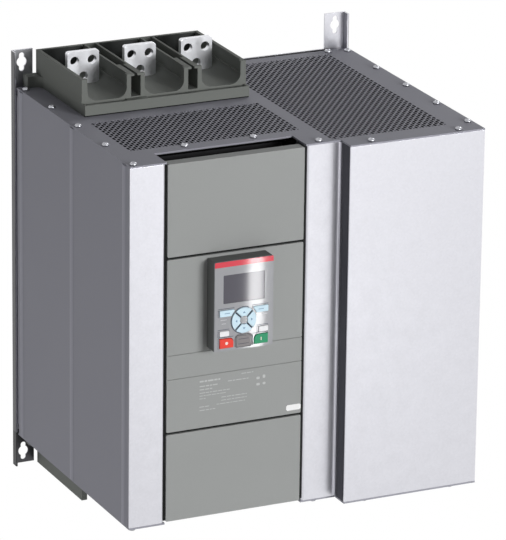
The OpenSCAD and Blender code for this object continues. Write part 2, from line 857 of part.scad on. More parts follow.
module start_key() color([0.18, 0.55, 0.40]) at_pad() run_key(0);

// Flap over the service socket, hung on two pins at its upper edge.
module service_flap() color(dark_plastic) at_pad() {
    translate([-flap_w/2, 0, flap_z - flap_h/2])
        block([0, pad_face, 0], [flap_w, pad_face + flap_t, flap_h - flap_t/2]);
    translate([-flap_w/2, flap_axis_y, flap_axis_z]) rotate([0, 90, 0]) cylinder(d = flap_t, h = flap_w);
    translate([-flap_w/2 - flap_pin_l - key_clear, flap_axis_y, flap_axis_z]) rotate([0, 90, 0])
        cylinder(d = flap_pin, h = flap_w + 2*flap_pin_l + 2*key_clear);
}

// Extruded heat sink of one phase, fins forward and upright in the air stream.
module heat_sink(i) color([0.70, 0.71, 0.73]) {
    pitch = (sink_w - fin_t)/(sink_fins - 1);
    translate([bay_x[i], 0, fan_z + fan_h])
        linear_extrude(module_h/2 + sink_over + top_z - fan_h) {
        translate([-sink_w/2, sink_y - sink_base]) square([sink_w, sink_base]);
        for (k = [0:sink_fins - 1])
            translate([-sink_w/2 + k*pitch, sink_y - sink_d]) square([fin_t, sink_d - sink_base + 1]);
    }
}

// Thyristor module with a pad for the line bar and one for the motor bar.
module thyristor_module(i) color([0.22, 0.22, 0.24]) {
    pad = 6;
    pad_half = 24;
    pad_shift = 14;
    translate([bay_x[i], 0, 0]) {
        block([-module_w/2, sink_y, -module_h/2], [module_w/2, module_y - pad, module_h/2]);
        for (s = [-1, 1]) translate([0, 0, s*(module_h/4 + pad_shift)])
            block([-bar_w/2, module_y - pad - eps, -pad_half], [bar_w/2, module_y, pad_half]);
    }
}

// Current transformer threaded on a line bar.
module current_transformer(i) color([0.16, 0.16, 0.18]) {
    ct_w = 58;
    ct_d = 42;
    ct_h = 38;
    ct_gap = 24;
    translate([bay_x[i], -bar_y + bar_t/2, module_h/2 + ct_gap]) linear_extrude(ct_h) difference() {
        centred_rect(ct_w, ct_d, ct_w/7);
        square([bar_w + 2*bar_clear, bar_t + 2*bar_clear], center = true);
    }
}

// Bypass contactor on the mounting plate: base and arc chamber.
module bypass_contactor() color([0.20, 0.20, 0.22]) {
    base_w = contactor_w;
    inset = 4;
    translate([contactor_x, -contactor_base, 0]) {
        block([-base_w/2, 0, -contactor_h/2], [base_w/2, contactor_base - sheet, contactor_h/2]);
        block([inset - base_w/2, -chamber_d, -chamber_h/2], [base_w/2 - inset, eps, chamber_h/2]);
        for (k = [-0.5, 0.5]) translate([k*pole_pitch, 0, 0])
            block([-barrier_w/2, -barrier_d, -barrier_h/2], [barrier_w/2, eps, barrier_h/2]);
    }
}

// Copper links from the terminal bars to the contactor's poles.
module bypass_links() color(copper) {
    face = -contactor_base;
    inset = 5;
    for (s = [0, 1], i = [0:2]) mirror([0, 0, s]) {
        pole_x = contactor_x + (i - 1)*pole_pitch;
        z = link_z + i*link_rise;
        block([bay_x[i] - bar_w/2 + inset, face - link_t, z - link_w/2],
              [pole_x + link_w/2, face, z + link_w/2]);
        block([bay_x[i] - bar_w/2 + inset, -bar_y + bar_t, z - link_w/2],
              [bay_x[i] + bar_w/2 - inset, face - link_t + eps, z + link_w/2]);
        block([pole_x - link_w/2, face - link_t, link_foot], [pole_x + link_w/2, face, z + link_w/2]);
    }
}

// Control board behind the upper cover.
module control_board() color([0.12, 0.36, 0.24]) {
    block([cover_x0 + board_side, frame_y - board_t, board_low], [cover_x1 - board_side, frame_y, board_top]);
}

// Two rows of plug-in control terminals on the board.
module control_terminals() color([0.20, 0.45, 0.30]) {
    way = terminal_way;
    start = cover_x - terminal_ways*way/2;
    for (z = [terminal_low, terminal_high]) difference() {
        block([start, frame_y - terminal_d, z],
              [start + terminal_ways*way, frame_y - board_t, z + terminal_h]);
        for (k = [0:terminal_ways - 1])
            block([start + (k + 0.2)*way, frame_y - terminal_d - 1, z + terminal_h/4],
                  [start + (k + 0.8)*way, frame_y - terminal_d/2, z + 0.7*terminal_h]);
    }
}

// Square frame of a cooling fan, with a motor plate on four struts and the shaft.
module fan_frame(i) color([0.13, 0.13, 0.14]) translate([fan_x[i], fan_y, fan_z]) {
    bore = fan_w - 2*fan_wall;
    difference() {
        linear_extrude(fan_h) centred_rect(fan_w, fan_w, 5);
        translate([0, 0, -1]) cylinder(d = bore, h = fan_h + 2);
        for (x = [-1, 1], y = [-1, 1]) translate([x*(fan_w/2 - 5), y*(fan_w/2 - 5), -1])
            cylinder(d = fan_hole, h = fan_h + 2);
    }
    for (a = [45:90:315]) rotate(a)
        block([hub_d/2 - 2, -strut_w/2, 0], [bore/2 + 1, strut_w/2, strut_t]);
    cylinder(d = hub_d, h = strut_t);
    cylinder(d = shaft_d, h = fan_h - shaft_end);
}

// Rotor of a fan: hub with pitched blades, turning on the frame's shaft.
module fan_rotor(i) color([0.10, 0.10, 0.11]) translate([fan_x[i], fan_y, fan_z]) {
    tip = fan_w - 4*fan_wall;
    foot = strut_t + slide_gap;
    rise = fan_h - strut_t - foot;
    difference() {
        union() {
            translate([0, 0, foot]) cylinder(d = hub_d, h = rise);
            intersection() {
                translate([0, 0, foot + 1]) cylinder(d = tip, h = rise - 2);
                for (k = [0:fan_blades - 1]) rotate(k*360/fan_blades)
                    translate([hub_d/2 - 3, 0, foot + rise/2]) rotate([50, 0, 0])
                        translate([0, -rise, -blade_t/2]) cube([tip/2, 2*rise, blade_t]);
            }
        }
        translate([0, 0, foot - 1])
            cylinder(d = shaft_d + 2*shaft_fit, h = fan_h - shaft_end - foot + 1 + slide_gap);
    }
}

back_plate();
mounting_rails();
left_side_panel();
right_side_panel();
left_front_strip();
right_front_strip();
step_panel();
right_front_panel();
top_plate();
bottom_plate();
top_rail();
case_screws();
line_terminal_shroud();
motor_terminal_shroud();
line_bar(0);  // line_bar_1
line_bar(1);  // line_bar_2
line_bar(2);  // line_bar_3
motor_bar(0);  // motor_bar_1
motor_bar(1);  // motor_bar_2
motor_bar(2);  // motor_bar_3
front_frame();
upper_cover();
middle_panel();
lower_cover();
keypad_case();
keypad_face();
display_window();
colour_band();
keypad_board();
soft_key(1);  // left_soft_key
soft_key(0);  // right_soft_key
ring_key(0);  // up_key
ring_key(90);  // left_key
ring_key(180);  // down_key
ring_key(270);  // right_key
small_key(1);  // help_key
small_key(0);  // local_key
stop_key();
start_key();
service_flap();
heat_sink(0);  // heat_sink_1
heat_sink(1);  // heat_sink_2
heat_sink(2);  // heat_sink_3
thyristor_module(0);  // thyristor_module_1
thyristor_module(1);  // thyristor_module_2
thyristor_module(2);  // thyristor_module_3
current_transformer(0);  // current_transformer_1
current_transformer(1);  // current_transformer_2
current_transformer(2);  // current_transformer_3
bypass_contactor();
bypass_links();
control_board();
control_terminals();
fan_frame(0);  // fan_frame_1
fan_frame(1);  // fan_frame_2
fan_frame(2);  // fan_frame_3
fan_rotor(0);  // fan_rotor_1
fan_rotor(1);  // fan_rotor_2
fan_rotor(2);  // fan_rotor_3
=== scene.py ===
import math

import bmesh
import bpy
from mathutils import Matrix, Vector


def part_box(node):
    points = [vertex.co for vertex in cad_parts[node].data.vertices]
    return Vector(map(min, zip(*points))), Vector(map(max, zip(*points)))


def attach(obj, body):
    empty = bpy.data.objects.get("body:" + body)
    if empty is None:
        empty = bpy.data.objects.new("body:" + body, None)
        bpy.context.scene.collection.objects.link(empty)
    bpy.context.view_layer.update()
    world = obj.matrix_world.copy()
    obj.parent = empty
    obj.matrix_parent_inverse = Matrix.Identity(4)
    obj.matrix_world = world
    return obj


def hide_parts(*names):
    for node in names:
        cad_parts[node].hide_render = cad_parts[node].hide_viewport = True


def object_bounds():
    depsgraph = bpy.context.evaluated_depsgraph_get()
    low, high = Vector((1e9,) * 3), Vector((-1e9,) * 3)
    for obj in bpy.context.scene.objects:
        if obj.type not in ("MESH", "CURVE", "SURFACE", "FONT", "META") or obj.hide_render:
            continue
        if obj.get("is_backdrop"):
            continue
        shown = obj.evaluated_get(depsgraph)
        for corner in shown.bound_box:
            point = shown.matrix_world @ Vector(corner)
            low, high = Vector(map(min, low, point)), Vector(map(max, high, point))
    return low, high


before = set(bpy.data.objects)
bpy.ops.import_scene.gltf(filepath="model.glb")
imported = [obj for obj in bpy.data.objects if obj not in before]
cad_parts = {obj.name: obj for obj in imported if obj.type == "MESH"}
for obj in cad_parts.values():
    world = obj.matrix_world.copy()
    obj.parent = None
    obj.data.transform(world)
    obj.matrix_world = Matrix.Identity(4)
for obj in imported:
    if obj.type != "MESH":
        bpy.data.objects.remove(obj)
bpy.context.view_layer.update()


# Mounting plate
# A zinc-coated steel sheet, cut with four keyhole ears and folded forward along both sides.
# It is screwed to the wall, and everything else is fixed to it.

ZINC_COLOUR = (207, 207, 213)
ZINC_METAL = 0.9
ZINC_GLOSS = 0.3
ZINC_CELLS = 420
ZINC_CONTRAST = 0.045
ZINC_RELIEF = 0.000001
BLOOM_SCALE = 60.0
BLOOM_SHARE = 0.7
BLOOM_SHINE = -0.02
ROLLING_SCALE = 140.0
LIP_SHADE = 0.1
LIP_THICKNESS = 0.0006
SHADE_BLEND = 0.0002
EAR_SHADE = 0.12
EAR_FRONT = -0.001
SHEET_EDGE = 0.0004
SHARP_ANGLE = 35
WELD_REACH = 1e-6
RELIEF_STRENGTH = 0.6
SOCKET_KINDS = {"Colour": "NodeSocketColor", "Lines": "NodeSocketVector"}


def linear(colour):
    """Shader colour of an 8-bit sRGB one."""
    out = []
    for channel in colour:
        c = channel / 255
        out.append(c / 12.92 if c <= 0.04045 else ((c + 0.055) / 1.055) ** 2.4)
    return (*out, 1.0)


def effect_group(name, inputs, outputs=("Colour", "Roughness", "Height")):
    """A new node group with its named sockets, most of them plain numbers."""
    group = bpy.data.node_groups.new(name, "ShaderNodeTree")
    for way, labels in (("INPUT", inputs), ("OUTPUT", outputs)):
        for label in labels:
            kind = SOCKET_KINDS.get(label, "NodeSocketFloat")
            group.interface.new_socket(label, in_out=way, socket_type=kind)
    return group, group.nodes.new("NodeGroupInput").outputs, group.nodes.new("NodeGroupOutput").inputs


def feed(tree, socket, value):
    """Sets a socket to a number, or links another socket to it."""
    if isinstance(value, (int, float)):
        socket.default_value = value
    else:
        tree.links.new(value, socket)


def object_place(tree):
    """Places on the part, in its own metres."""
    return tree.nodes.new("ShaderNodeTexCoord").outputs["Object"]


def noise(tree, place, scale, detail):
    """A noise texture."""
    texture = tree.nodes.new("ShaderNodeTexNoise")
    texture.inputs["Detail"].default_value = detail
    tree.links.new(place, texture.inputs["Vector"])
    feed(tree, texture.inputs["Scale"], scale)
    return texture.outputs["Fac"]


def spread(tree, value, low, high):
    """Maps the middle half of a noise, where nearly all of it lies, onto low to high."""
    mapped = tree.nodes.new("ShaderNodeMapRange")
    mapped.inputs["From Min"].default_value = 0.25
    mapped.inputs["From Max"].default_value = 0.75
    tree.links.new(value, mapped.inputs["Value"])
    feed(tree, mapped.inputs["To Min"], low)
    feed(tree, mapped.inputs["To Max"], high)
    return mapped.outputs["Result"]


def sums(tree, operation, a, b):
    """A math node on two numbers or sockets."""
    node = tree.nodes.new("ShaderNodeMath")
    node.operation = operation
    feed(tree, node.inputs[0], a)
    feed(tree, node.inputs[1], b)
    return node.outputs["Value"]


def blended(tree, a, b, share):
    """Two patterns added up, with this share of the second."""
    return sums(tree, "ADD", sums(tree, "MULTIPLY", a, 1 - share), sums(tree, "MULTIPLY", b, share))


def tinted(tree, colour, factor):
    """Multiplies a colour by a value."""
    scale = tree.nodes.new("ShaderNodeVectorMath")
    scale.operation = "SCALE"
    tree.links.new(colour, scale.inputs["Vector"])
    tree.links.new(factor, scale.inputs["Scale"])
    return scale.outputs["Vector"]


def dimmed(tree, colour, where, shade):
    """A colour multiplied by a shade where a mask is 1."""
    change = sums(tree, "MULTIPLY", where, sums(tree, "SUBTRACT", shade, 1.0))
    return tinted(tree, colour, sums(tree, "ADD", 1.0, change))


def give_surface(group, given, result, pattern, contrast, shine_pattern, shine, height):
    """Feeds a group's outputs: one pattern shifts the colour, one the roughness, and one is the height."""
    low = sums(group, "SUBTRACT", 1.0, given[contrast])
    high = sums(group, "ADD", 1.0, given[contrast])
    colour = tinted(group, given["Colour"], spread(group, pattern, low, high))
    rough = sums(group, "ADD", given["Gloss"], spread(group, shine_pattern, -shine, shine))
    for label, value in (("Colour", colour), ("Roughness", rough), ("Height", height)):
        group.links.new(value, result[label])


def zinc_spangle_group():
    """Zinc bloom: small crystals that differ a little in shade, under a cloudy gloss and faint rolling marks."""
    group, given, result = effect_group("zinc_spangle", ("Colour", "Cells", "Contrast", "Gloss"))
    place = object_place(group)
    crystals = group.nodes.new("ShaderNodeTexVoronoi")
    group.links.new(place, crystals.inputs["Vector"])
    group.links.new(given["Cells"], crystals.inputs["Scale"])
    shade = group.nodes.new("ShaderNodeRGBToBW")
    group.links.new(crystals.outputs["Color"], shade.inputs["Color"])
    bloom = noise(group, place, BLOOM_SCALE, 5.0)
    mixed = blended(group, shade.outputs["Val"], bloom, BLOOM_SHARE)
    rolling = noise(group, place, ROLLING_SCALE, 0.0)
    give_surface(group, given, result, mixed, "Contrast", bloom, BLOOM_SHINE, rolling)
    return group


def add_effect(tree, group, values):
    """Places a node group in a material, with its own values."""
    effect = tree.nodes.new("ShaderNodeGroup")
    effect.node_tree = group
    for socket, value in values.items():
        effect.inputs[socket].default_value = value
    return effect


def make_finish(name, group, values, relief, plain):
    """A material: a group's colour, roughness and height on a shader with these plain values."""
    material = bpy.data.materials.new(name)
    material.use_nodes = True
    tree = material.node_tree
    shader = tree.nodes["Principled BSDF"]
    for socket, value in plain.items():
        shader.inputs[socket].default_value = value
    effect = add_effect(tree, group, values)
    bump = tree.nodes.new("ShaderNodeBump")
    bump.inputs["Distance"].default_value = relief
    bump.inputs["Strength"].default_value = RELIEF_STRENGTH
    tree.links.new(effect.outputs["Height"], bump.inputs["Height"])
    tree.links.new(effect.outputs["Colour"], shader.inputs["Base Color"])
    tree.links.new(effect.outputs["Roughness"], shader.inputs["Roughness"])
    tree.links.new(bump.outputs["Normal"], shader.inputs["Normal"])
    return material


def zinc_finish(name):
    """Bare zinc-coated sheet."""
    return make_finish(name, zinc_spangle, {"Colour": linear(ZINC_COLOUR), "Cells": ZINC_CELLS,
                                            "Contrast": ZINC_CONTRAST, "Gloss": ZINC_GLOSS},
                       ZINC_RELIEF, {"Metallic": ZINC_METAL})


def coat(material, *nodes):
    """Gives CAD nodes this material."""
    for node in nodes:
        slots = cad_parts[node].data.materials
        slots.clear()
        slots.append(material)


def soften(width, *nodes):
    """Rounds the sharp edges of CAD nodes by a small width."""
    for node in nodes:
        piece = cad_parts[node]
        weld = piece.modifiers.new("weld", "WELD")
        weld.merge_threshold = WELD_REACH
        edges = piece.modifiers.new("soft_edges", "BEVEL")
        edges.width = width
        edges.segments = 2
        edges.limit_method = "ANGLE"
        edges.angle_limit = math.radians(SHARP_ANGLE)
        piece.modifiers.new("even_shading", "WEIGHTED_NORMAL")


def outer_painted_light_group():
    """Painted light beyond a distance from the middle: painted shade on the plate's outer faces and a painted
    highlight on raised beads.
    """
    group, given, result = effect_group("outer_painted_light", ("Colour", "Start", "Shade"), ("Colour",))
    axes = group.nodes.new("ShaderNodeSeparateXYZ")
    group.links.new(object_place(group), axes.inputs["Vector"])
    across = sums(group, "ABSOLUTE", axes.outputs["X"], 0.0)
    beyond = group.nodes.new("ShaderNodeMapRange")
    group.links.new(across, beyond.inputs["Value"])
    group.links.new(given["Start"], beyond.inputs["From Min"])
    group.links.new(sums(group, "ADD", given["Start"], SHADE_BLEND), beyond.inputs["From Max"])
    shaded = dimmed(group, given["Colour"], beyond.outputs["Result"], given["Shade"])
    group.links.new(shaded, result["Colour"])
    return group


def shade_outside(material, colour, start, shade):
    """Feeds a material's colour through the outer painted light."""
    tree = material.node_tree
    main = next(node for node in tree.nodes if node.type == "GROUP")
    outer = add_effect(tree, outer_painted_light, {"Colour": linear(colour), "Start": start, "Shade": shade})
    tree.links.new(outer.outputs["Colour"], main.inputs["Colour"])
    return outer


def ear_painted_shade_group():
    """A painted shade ahead of one depth and below one height."""
    group, given, result = effect_group("ear_painted_shade", ("Colour", "Low", "Front", "Shade"), ("Colour",))
    axes = group.nodes.new("ShaderNodeSeparateXYZ")
    group.links.new(object_place(group), axes.inputs["Vector"])
    below = sums(group, "LESS_THAN", axes.outputs["Z"], given["Low"])
    ahead = sums(group, "LESS_THAN", axes.outputs["Y"], given["Front"])
    shaded = dimmed(group, given["Colour"], sums(group, "MULTIPLY", below, ahead), given["Shade"])
    group.links.new(shaded, result["Colour"])
    return group


zinc_spangle = zinc_spangle_group()
outer_painted_light = outer_painted_light_group()
plate_zinc = zinc_finish("mounting_plate_zinc")
# Painted shade: the outer faces of the lips and the fronts of the lower ears are darkened by where they lie.
lips = shade_outside(plate_zinc, ZINC_COLOUR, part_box("back_plate")[1].x - LIP_THICKNESS, LIP_SHADE)
ears = add_effect(plate_zinc.node_tree, ear_painted_shade_group(), {
    "Colour": linear(ZINC_COLOUR), "Low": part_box("bottom_plate")[1].z, "Front": EAR_FRONT, "Shade": EAR_SHADE})
plate_zinc.node_tree.links.new(ears.outputs["Colour"], lips.inputs["Colour"])
coat(plate_zinc, "back_plate")
soften(SHEET_EDGE, "back_plate")


# Rails, side panels, step wall and bottom plate
# Steel sheet, folded into channels with pressed beads and powder-coated grey.
# The rails hold the cabinet off the mounting plate; the panels are screwed to the plates.

PAINT_COLOUR = (162, 162, 172)
STEP_SHADE_COLOUR = (86, 86, 93)
PAINT_GRAIN = 900
PAINT_DRIFT = 0.03
PAINT_RELIEF = 0.00003
DRIFT_SCALE = 9.0
GRAIN_SHARE = 0.3
GRAIN_SHINE = 0.05
BEAD_EDGE = 0.0005
BEAD_TOP = 0.0006
BEAD_HIGHLIGHT = 1.2


def surface_grain_group():
    """Powder coat or moulded texture: a fine grain with a slow drift in shade and gloss."""
    group, given, result = effect_group("surface_grain", ("Colour", "Grain", "Drift", "Gloss"))
    place = object_place(group)
    grain = noise(group, place, given["Grain"], 2.0)
    drift = noise(group, place, DRIFT_SCALE, 3.0)
    both = blended(group, drift, grain, GRAIN_SHARE)
    give_surface(group, given, result, both, "Drift", drift, GRAIN_SHINE, grain)
    return group


def grained(name, colour, grain, drift, gloss, relief, specular=0.5, film=None):
    """A finish with a fine grain: paint, moulding, foam, rubber, paper or ink."""
    return make_finish(name, surface_grain,
                       {"Colour": linear(colour), "Grain": grain, "Drift": drift, "Gloss": gloss},
                       relief, {"Specular IOR Level": specular, **(film or {})})


surface_grain = surface_grain_group()
paint = grained("powder_coat", PAINT_COLOUR, PAINT_GRAIN, PAINT_DRIFT, 0.52, PAINT_RELIEF, specular=0.1)
# Painted shade: the step wall takes a darker copy of the powder coat, for the shade in its corner beside the
# strip.
shaded_paint = grained("painted_shade_coat", STEP_SHADE_COLOUR, PAINT_GRAIN, PAINT_DRIFT, 0.55, PAINT_RELIEF, specular=0.05)
bead_highlight_paint = grained("side_coat_painted_highlight", PAINT_COLOUR, PAINT_GRAIN, PAINT_DRIFT, 0.52, PAINT_RELIEF, specular=0.1)
# Painted highlight: the tops of the raised beads on the side panels are lighter.
shade_outside(bead_highlight_paint, PAINT_COLOUR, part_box("right_side_panel")[1].x - BEAD_TOP, BEAD_HIGHLIGHT)
coat(paint, "mounting_rails", "bottom_plate")
coat(bead_highlight_paint, "left_side_panel", "right_side_panel")
coat(shaded_paint, "step_panel")
soften(BEAD_EDGE, "left_side_panel", "right_side_panel", "step_panel")


# Heat sinks, thyristor modules, transformers, contactor, links, fans and top rail
# Extruded aluminium, black moulded housings and bare copper bar, bolted inside the cabinet.
# They are seen only through the vents and the fan inlets.

SINK_COLOUR = (188, 190, 194)
HOUSING_COLOUR = (44, 44, 47)
COPPER_COLOUR = (196, 122, 84)
LINE_SHINE = 0.06


def drawn_lines_group():
    """Drawn or extruded metal: fine lines along one direction, set by how far each axis is stretched."""
    group, given, result = effect_group("drawn_lines", ("Colour", "Lines", "Contrast", "Gloss"))
    stretch = group.nodes.new("ShaderNodeVectorMath")
    stretch.operation = "MULTIPLY"
    group.links.new(object_place(group), stretch.inputs[0])
    group.links.new(given["Lines"], stretch.inputs[1])
    lines = noise(group, stretch.outputs["Vector"], 1.0, 4.0)
    give_surface(group, given, result, lines, "Contrast", lines, LINE_SHINE, lines)
    return group


def drawn(name, colour, lines, contrast, gloss, relief, metal=1.0):
    """A metal finish with drawn lines."""
    return make_finish(name, drawn_lines,
                       {"Colour": linear(colour), "Lines": lines, "Contrast": contrast, "Gloss": gloss},
                       relief, {"Metallic": metal})


drawn_lines = drawn_lines_group()
sink_metal = drawn("extruded_aluminium", SINK_COLOUR, lines=(900, 900, 8), contrast=0.06, gloss=0.42,
                   relief=0.00003)
copper = drawn("bare_copper", COPPER_COLOUR, lines=(8, 700, 700), contrast=0.08, gloss=0.35, relief=0.00003)
housing = grained("black_housing", HOUSING_COLOUR, grain=1400, drift=0.06, gloss=0.6, relief=0.00004)
for phase in ("1", "2", "3"):
    coat(sink_metal, "heat_sink_" + phase)
    coat(housing, "thyristor_module_" + phase, "current_transformer_" + phase)
    coat(housing, "fan_frame_" + phase, "fan_rotor_" + phase)
# Painted shade: the top rail takes the black housing colour so that it shows black in the notch above the upper
# cover.
coat(housing, "bypass_contactor", "top_rail")
coat(copper, "bypass_links")


# Top plate
# The same coated sheet with two fields of staggered slots and, where a column falls short, round holes.
# It lies on the flanges of the panels and is notched above the covers.

SLOT_COLUMN = 0.004
SLOT_STEP = 0.0101
SLOT_WIDTH = 0.003
SLOT_LENGTH = 0.008
WEB_THICKNESS = 0.0003
LEFT_FIELD = (-0.19343, -0.29434, 53, 11, 11)
RIGHT_FIELD = (0.03514, -0.34268, 37, 31, 30)
NOTCH_SIDE = 0.0015
NOTCH_REAR = 0.012
BAR_ROOM = (0.006, 0.008)


def link_mesh(name, mesh_maker, material):
    """Turns a filled bmesh into a shown object with one material."""
    data = bpy.data.meshes.new(name)
    mesh_maker.to_mesh(data)
    mesh_maker.free()
    data.materials.append(material)
    piece = bpy.data.objects.new(name, data)
    bpy.context.scene.collection.objects.link(piece)
    return piece


def around(ring):
    """Each corner of a closed ring with the one after it."""
    return zip(ring, ring[1:] + ring[:1])


def cell(cx, cy):
    """Six corners of the sheet round one slot, from the middle of the right side."""
    half, end = SLOT_COLUMN / 2, SLOT_STEP / 2
    return [(cx + half, cy), (cx + half, cy + end), (cx - half, cy + end),
            (cx - half, cy), (cx - half, cy - end), (cx + half, cy - end)]


def slot(cx, cy):
    """A slot with round ends of four steps each, from the right end of its rear arc."""
    straight, radius = (SLOT_LENGTH - SLOT_WIDTH) / 2, SLOT_WIDTH / 2
    ring = []
    for way in (1, -1):
        for k in range(5):
            turn = math.pi * k / 4
            ring.append((cx + way * radius * math.cos(turn), cy + way * (straight + radius * math.sin(turn))))
    return ring


def end_cell(cx, cy):
    """Four corners of the sheet round the half cell that fills out a column, from the front right one."""
    half, end = SLOT_COLUMN / 2, SLOT_STEP / 4
    return [(cx + half, cy - end), (cx + half, cy + end), (cx - half, cy + end), (cx - half, cy - end)]


def end_hole(cx, cy):
    """A round hole of eight steps, as wide as a slot, from its right side."""
    turns = [math.pi * k / 4 for k in range(8)]
    return [(cx + SLOT_WIDTH / 2 * math.cos(turn), cy + SLOT_WIDTH / 2 * math.sin(turn)) for turn in turns]


def perforated_plate():
    """The plate's outline with its notch, filled round two fields of slots."""
    low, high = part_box("top_plate")
    web_z = high.z - WEB_THICKNESS
    plate = bmesh.new()
    known = {}

    def point(x, y, z):
        """One corner for each place, to a micrometre."""
        key = (round(x * 1e6), round(y * 1e6), round(z * 1e6))
        if key not in known:
            known[key] = plate.verts.new((x, y, z))
        return known[key]

    def wall(loop, z0, z1):
        """An upright wall between two heights along a loop."""
        for a, b in around(loop):
            plate.faces.new([point(*a, z0), point(*b, z0), point(*b, z1), point(*a, z1)])

    def both_sides(ring):
        """One face of the thin web, above and below."""
        plate.faces.new([point(x, y, high.z) for x, y in ring])
        plate.faces.new([point(x, y, web_z) for x, y in reversed(ring)])

    def field(x0, y0, columns, rows, late_rows):
        """Punches one field, every other column half a step later, and gives back the loop round it."""
        sides = {}

        def finish(edge, hole):
            """The wall of a hole; sides that two cells share are no longer part of the field's edge."""
            wall(hole, high.z, web_z)
            for here, there in around(edge):
                start, end = point(*here, high.z), point(*there, high.z)
                if (end, start) in sides:
                    del sides[end, start]
                else:
                    sides[start, end] = True

        def punch(cx, cy):
            """One cell with its slot."""
            edge, hole = cell(cx, cy), slot(cx, cy)
            for k, h in ((0, 0), (3, 5)):
                last = (k + 3) % 6
                both_sides([edge[k], edge[k + 1], hole[h + 1], hole[h]])
                both_sides([edge[k + 1], hole[h + 2], hole[h + 1]])
                both_sides([edge[k + 1], edge[k + 2], hole[h + 2]])
                both_sides([edge[k + 2], hole[h + 3], hole[h + 2]])
                both_sides([edge[k + 2], edge[last], hole[h + 4], hole[h + 3]])
                both_sides([edge[last], hole[(h + 5) % 10], hole[h + 4]])
            finish(edge, hole)

        def punch_end(cx, cy):
            """One half cell with its round hole."""
            edge, hole = end_cell(cx, cy), end_hole(cx, cy)
            for k in range(4):
                n, h = (k + 1) % 4, 2 * k
                both_sides([edge[k], edge[n], hole[h]])
                both_sides([edge[n], hole[h + 1], hole[h]])
                both_sides([edge[k], hole[h], hole[h - 1]])
            finish(edge, hole)

        length = max(rows, late_rows + 0.5)
        for column in range(columns):
            cx = x0 + (column + 0.5) * SLOT_COLUMN
            count, late = (rows, 0) if column % 2 else (late_rows, 0.5)
            for row in range(count):
                punch(cx, y0 + (row + 0.5 + late) * SLOT_STEP)
            if late:
                punch_end(cx, y0 + 0.25 * SLOT_STEP)
            if count + late < length:
                punch_end(cx, y0 + (count + late + 0.25) * SLOT_STEP)
        after = {start: end for start, end in sides}
        corner = next(iter(after))
        loop = []
        while len(loop) < len(after):
            loop.append((corner.co.x, corner.co.y))
            corner = after[corner]
        return loop

    strip_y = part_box("left_front_strip")[0].y
    step_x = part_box("right_front_panel")[0].x
    cover_low, cover_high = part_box("upper_cover")
    notch_x0, notch_x1 = cover_low.x - NOTCH_SIDE, cover_high.x + NOTCH_SIDE
    notch_y = cover_high.y + NOTCH_REAR
    outline = [(low.x, high.y), (low.x, strip_y), (notch_x0, strip_y), (notch_x0, notch_y),
               (notch_x1, notch_y), (notch_x1, strip_y), (step_x, strip_y), (step_x, low.y),
               (high.x, low.y), (high.x, high.y)]
    first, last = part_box("line_bar_1")[0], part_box("line_bar_3")[1]
    cut_x0, cut_y0 = first.x - BAR_ROOM[0], first.y - BAR_ROOM[1]
    cut_x1, cut_y1 = last.x + BAR_ROOM[0], last.y + BAR_ROOM[1]
    bar_cut = [(cut_x0, cut_y0), (cut_x0, cut_y1), (cut_x1, cut_y1), (cut_x1, cut_y0)]
    fields = [field(*LEFT_FIELD), field(*RIGHT_FIELD)]
    for z, up in ((high.z, 1), (low.z, -1)):
        edges = []
        for loop in (outline, bar_cut, *fields):
            for a, b in around([point(x, y, z) for x, y in loop]):
                edges.append(plate.edges.get((a, b)) or plate.edges.new((a, b)))
        bmesh.ops.triangle_fill(plate, use_beauty=True, edges=edges, normal=(0, 0, up))
    for loop in (outline, bar_cut):
        wall(loop, low.z, high.z)
    for loop in fields:
        wall(loop, web_z, low.z)
    return link_mesh("perforated_top", plate, paint)


top = perforated_plate()
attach(top, "cabinet")
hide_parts("top_plate")


# Dark mats under the vents
# Black open-cell foam, one mat under each field of slots, held against the top plate.
# They are painted shade for the dark inside of the cabinet and make the slots look black.

SHADE_FOAM_COLOUR = (14, 14, 15)
FOAM_DROP = 0.005
FOAM_WAVE = 0.0012
FOAM_STEP = 0.006
FOAM_THICKNESS = 0.006


def shade_mat(name, slots):
    """A mat with a dimpled upper face under one field of slots."""
    x0, y0, columns, rows, late_rows = slots
    x1, y1 = x0 + columns * SLOT_COLUMN, y0 + max(rows, late_rows + 0.5) * SLOT_STEP
    across, along = round((x1 - x0) / FOAM_STEP), round((y1 - y0) / FOAM_STEP)
    top_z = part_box("top_plate")[1].z - FOAM_DROP
    mat = bmesh.new()
    levels = []
    for sink in (0, FOAM_THICKNESS):
        grid = []
        for j in range(along + 1):
            row = []
            for i in range(across + 1):
                dimple = FOAM_WAVE if (i + j) % 2 and not sink else 0
                row.append(mat.verts.new((x0 + (x1 - x0) * i / across, y0 + (y1 - y0) * j / along,
                                          top_z - sink - dimple)))
            grid.append(row)
        levels.append(grid)
    upper, lower = levels
    for j in range(along):
        for i in range(across):
            mat.faces.new((upper[j][i], upper[j][i + 1], upper[j + 1][i + 1], upper[j + 1][i]))
            mat.faces.new((lower[j][i], lower[j + 1][i], lower[j + 1][i + 1], lower[j][i + 1]))
    rim = [(0, i) for i in range(across)] + [(j, across) for j in range(along)]
    rim += [(along, i) for i in range(across, 0, -1)] + [(j, 0) for j in range(along, 0, -1)]
    for (aj, ai), (bj, bi) in around(rim):
        mat.faces.new((lower[aj][ai], lower[bj][bi], upper[bj][bi], upper[aj][ai]))
    return link_mesh(name, mat, foam)


foam = grained("painted_shade_foam", SHADE_FOAM_COLOUR, grain=700, drift=0.2, gloss=0.9, relief=0.0003, specular=0.0)
for name, slots in (("left_shade_mat", LEFT_FIELD), ("right_shade_mat", RIGHT_FIELD)):
    mat = shade_mat(name, slots)
    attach(mat, "cabinet")


# Case screws
# Zinc-plated pan heads with a six-lobed socket, along the edges of the top and bottom plates.
# Each one goes through the plate into a flange.

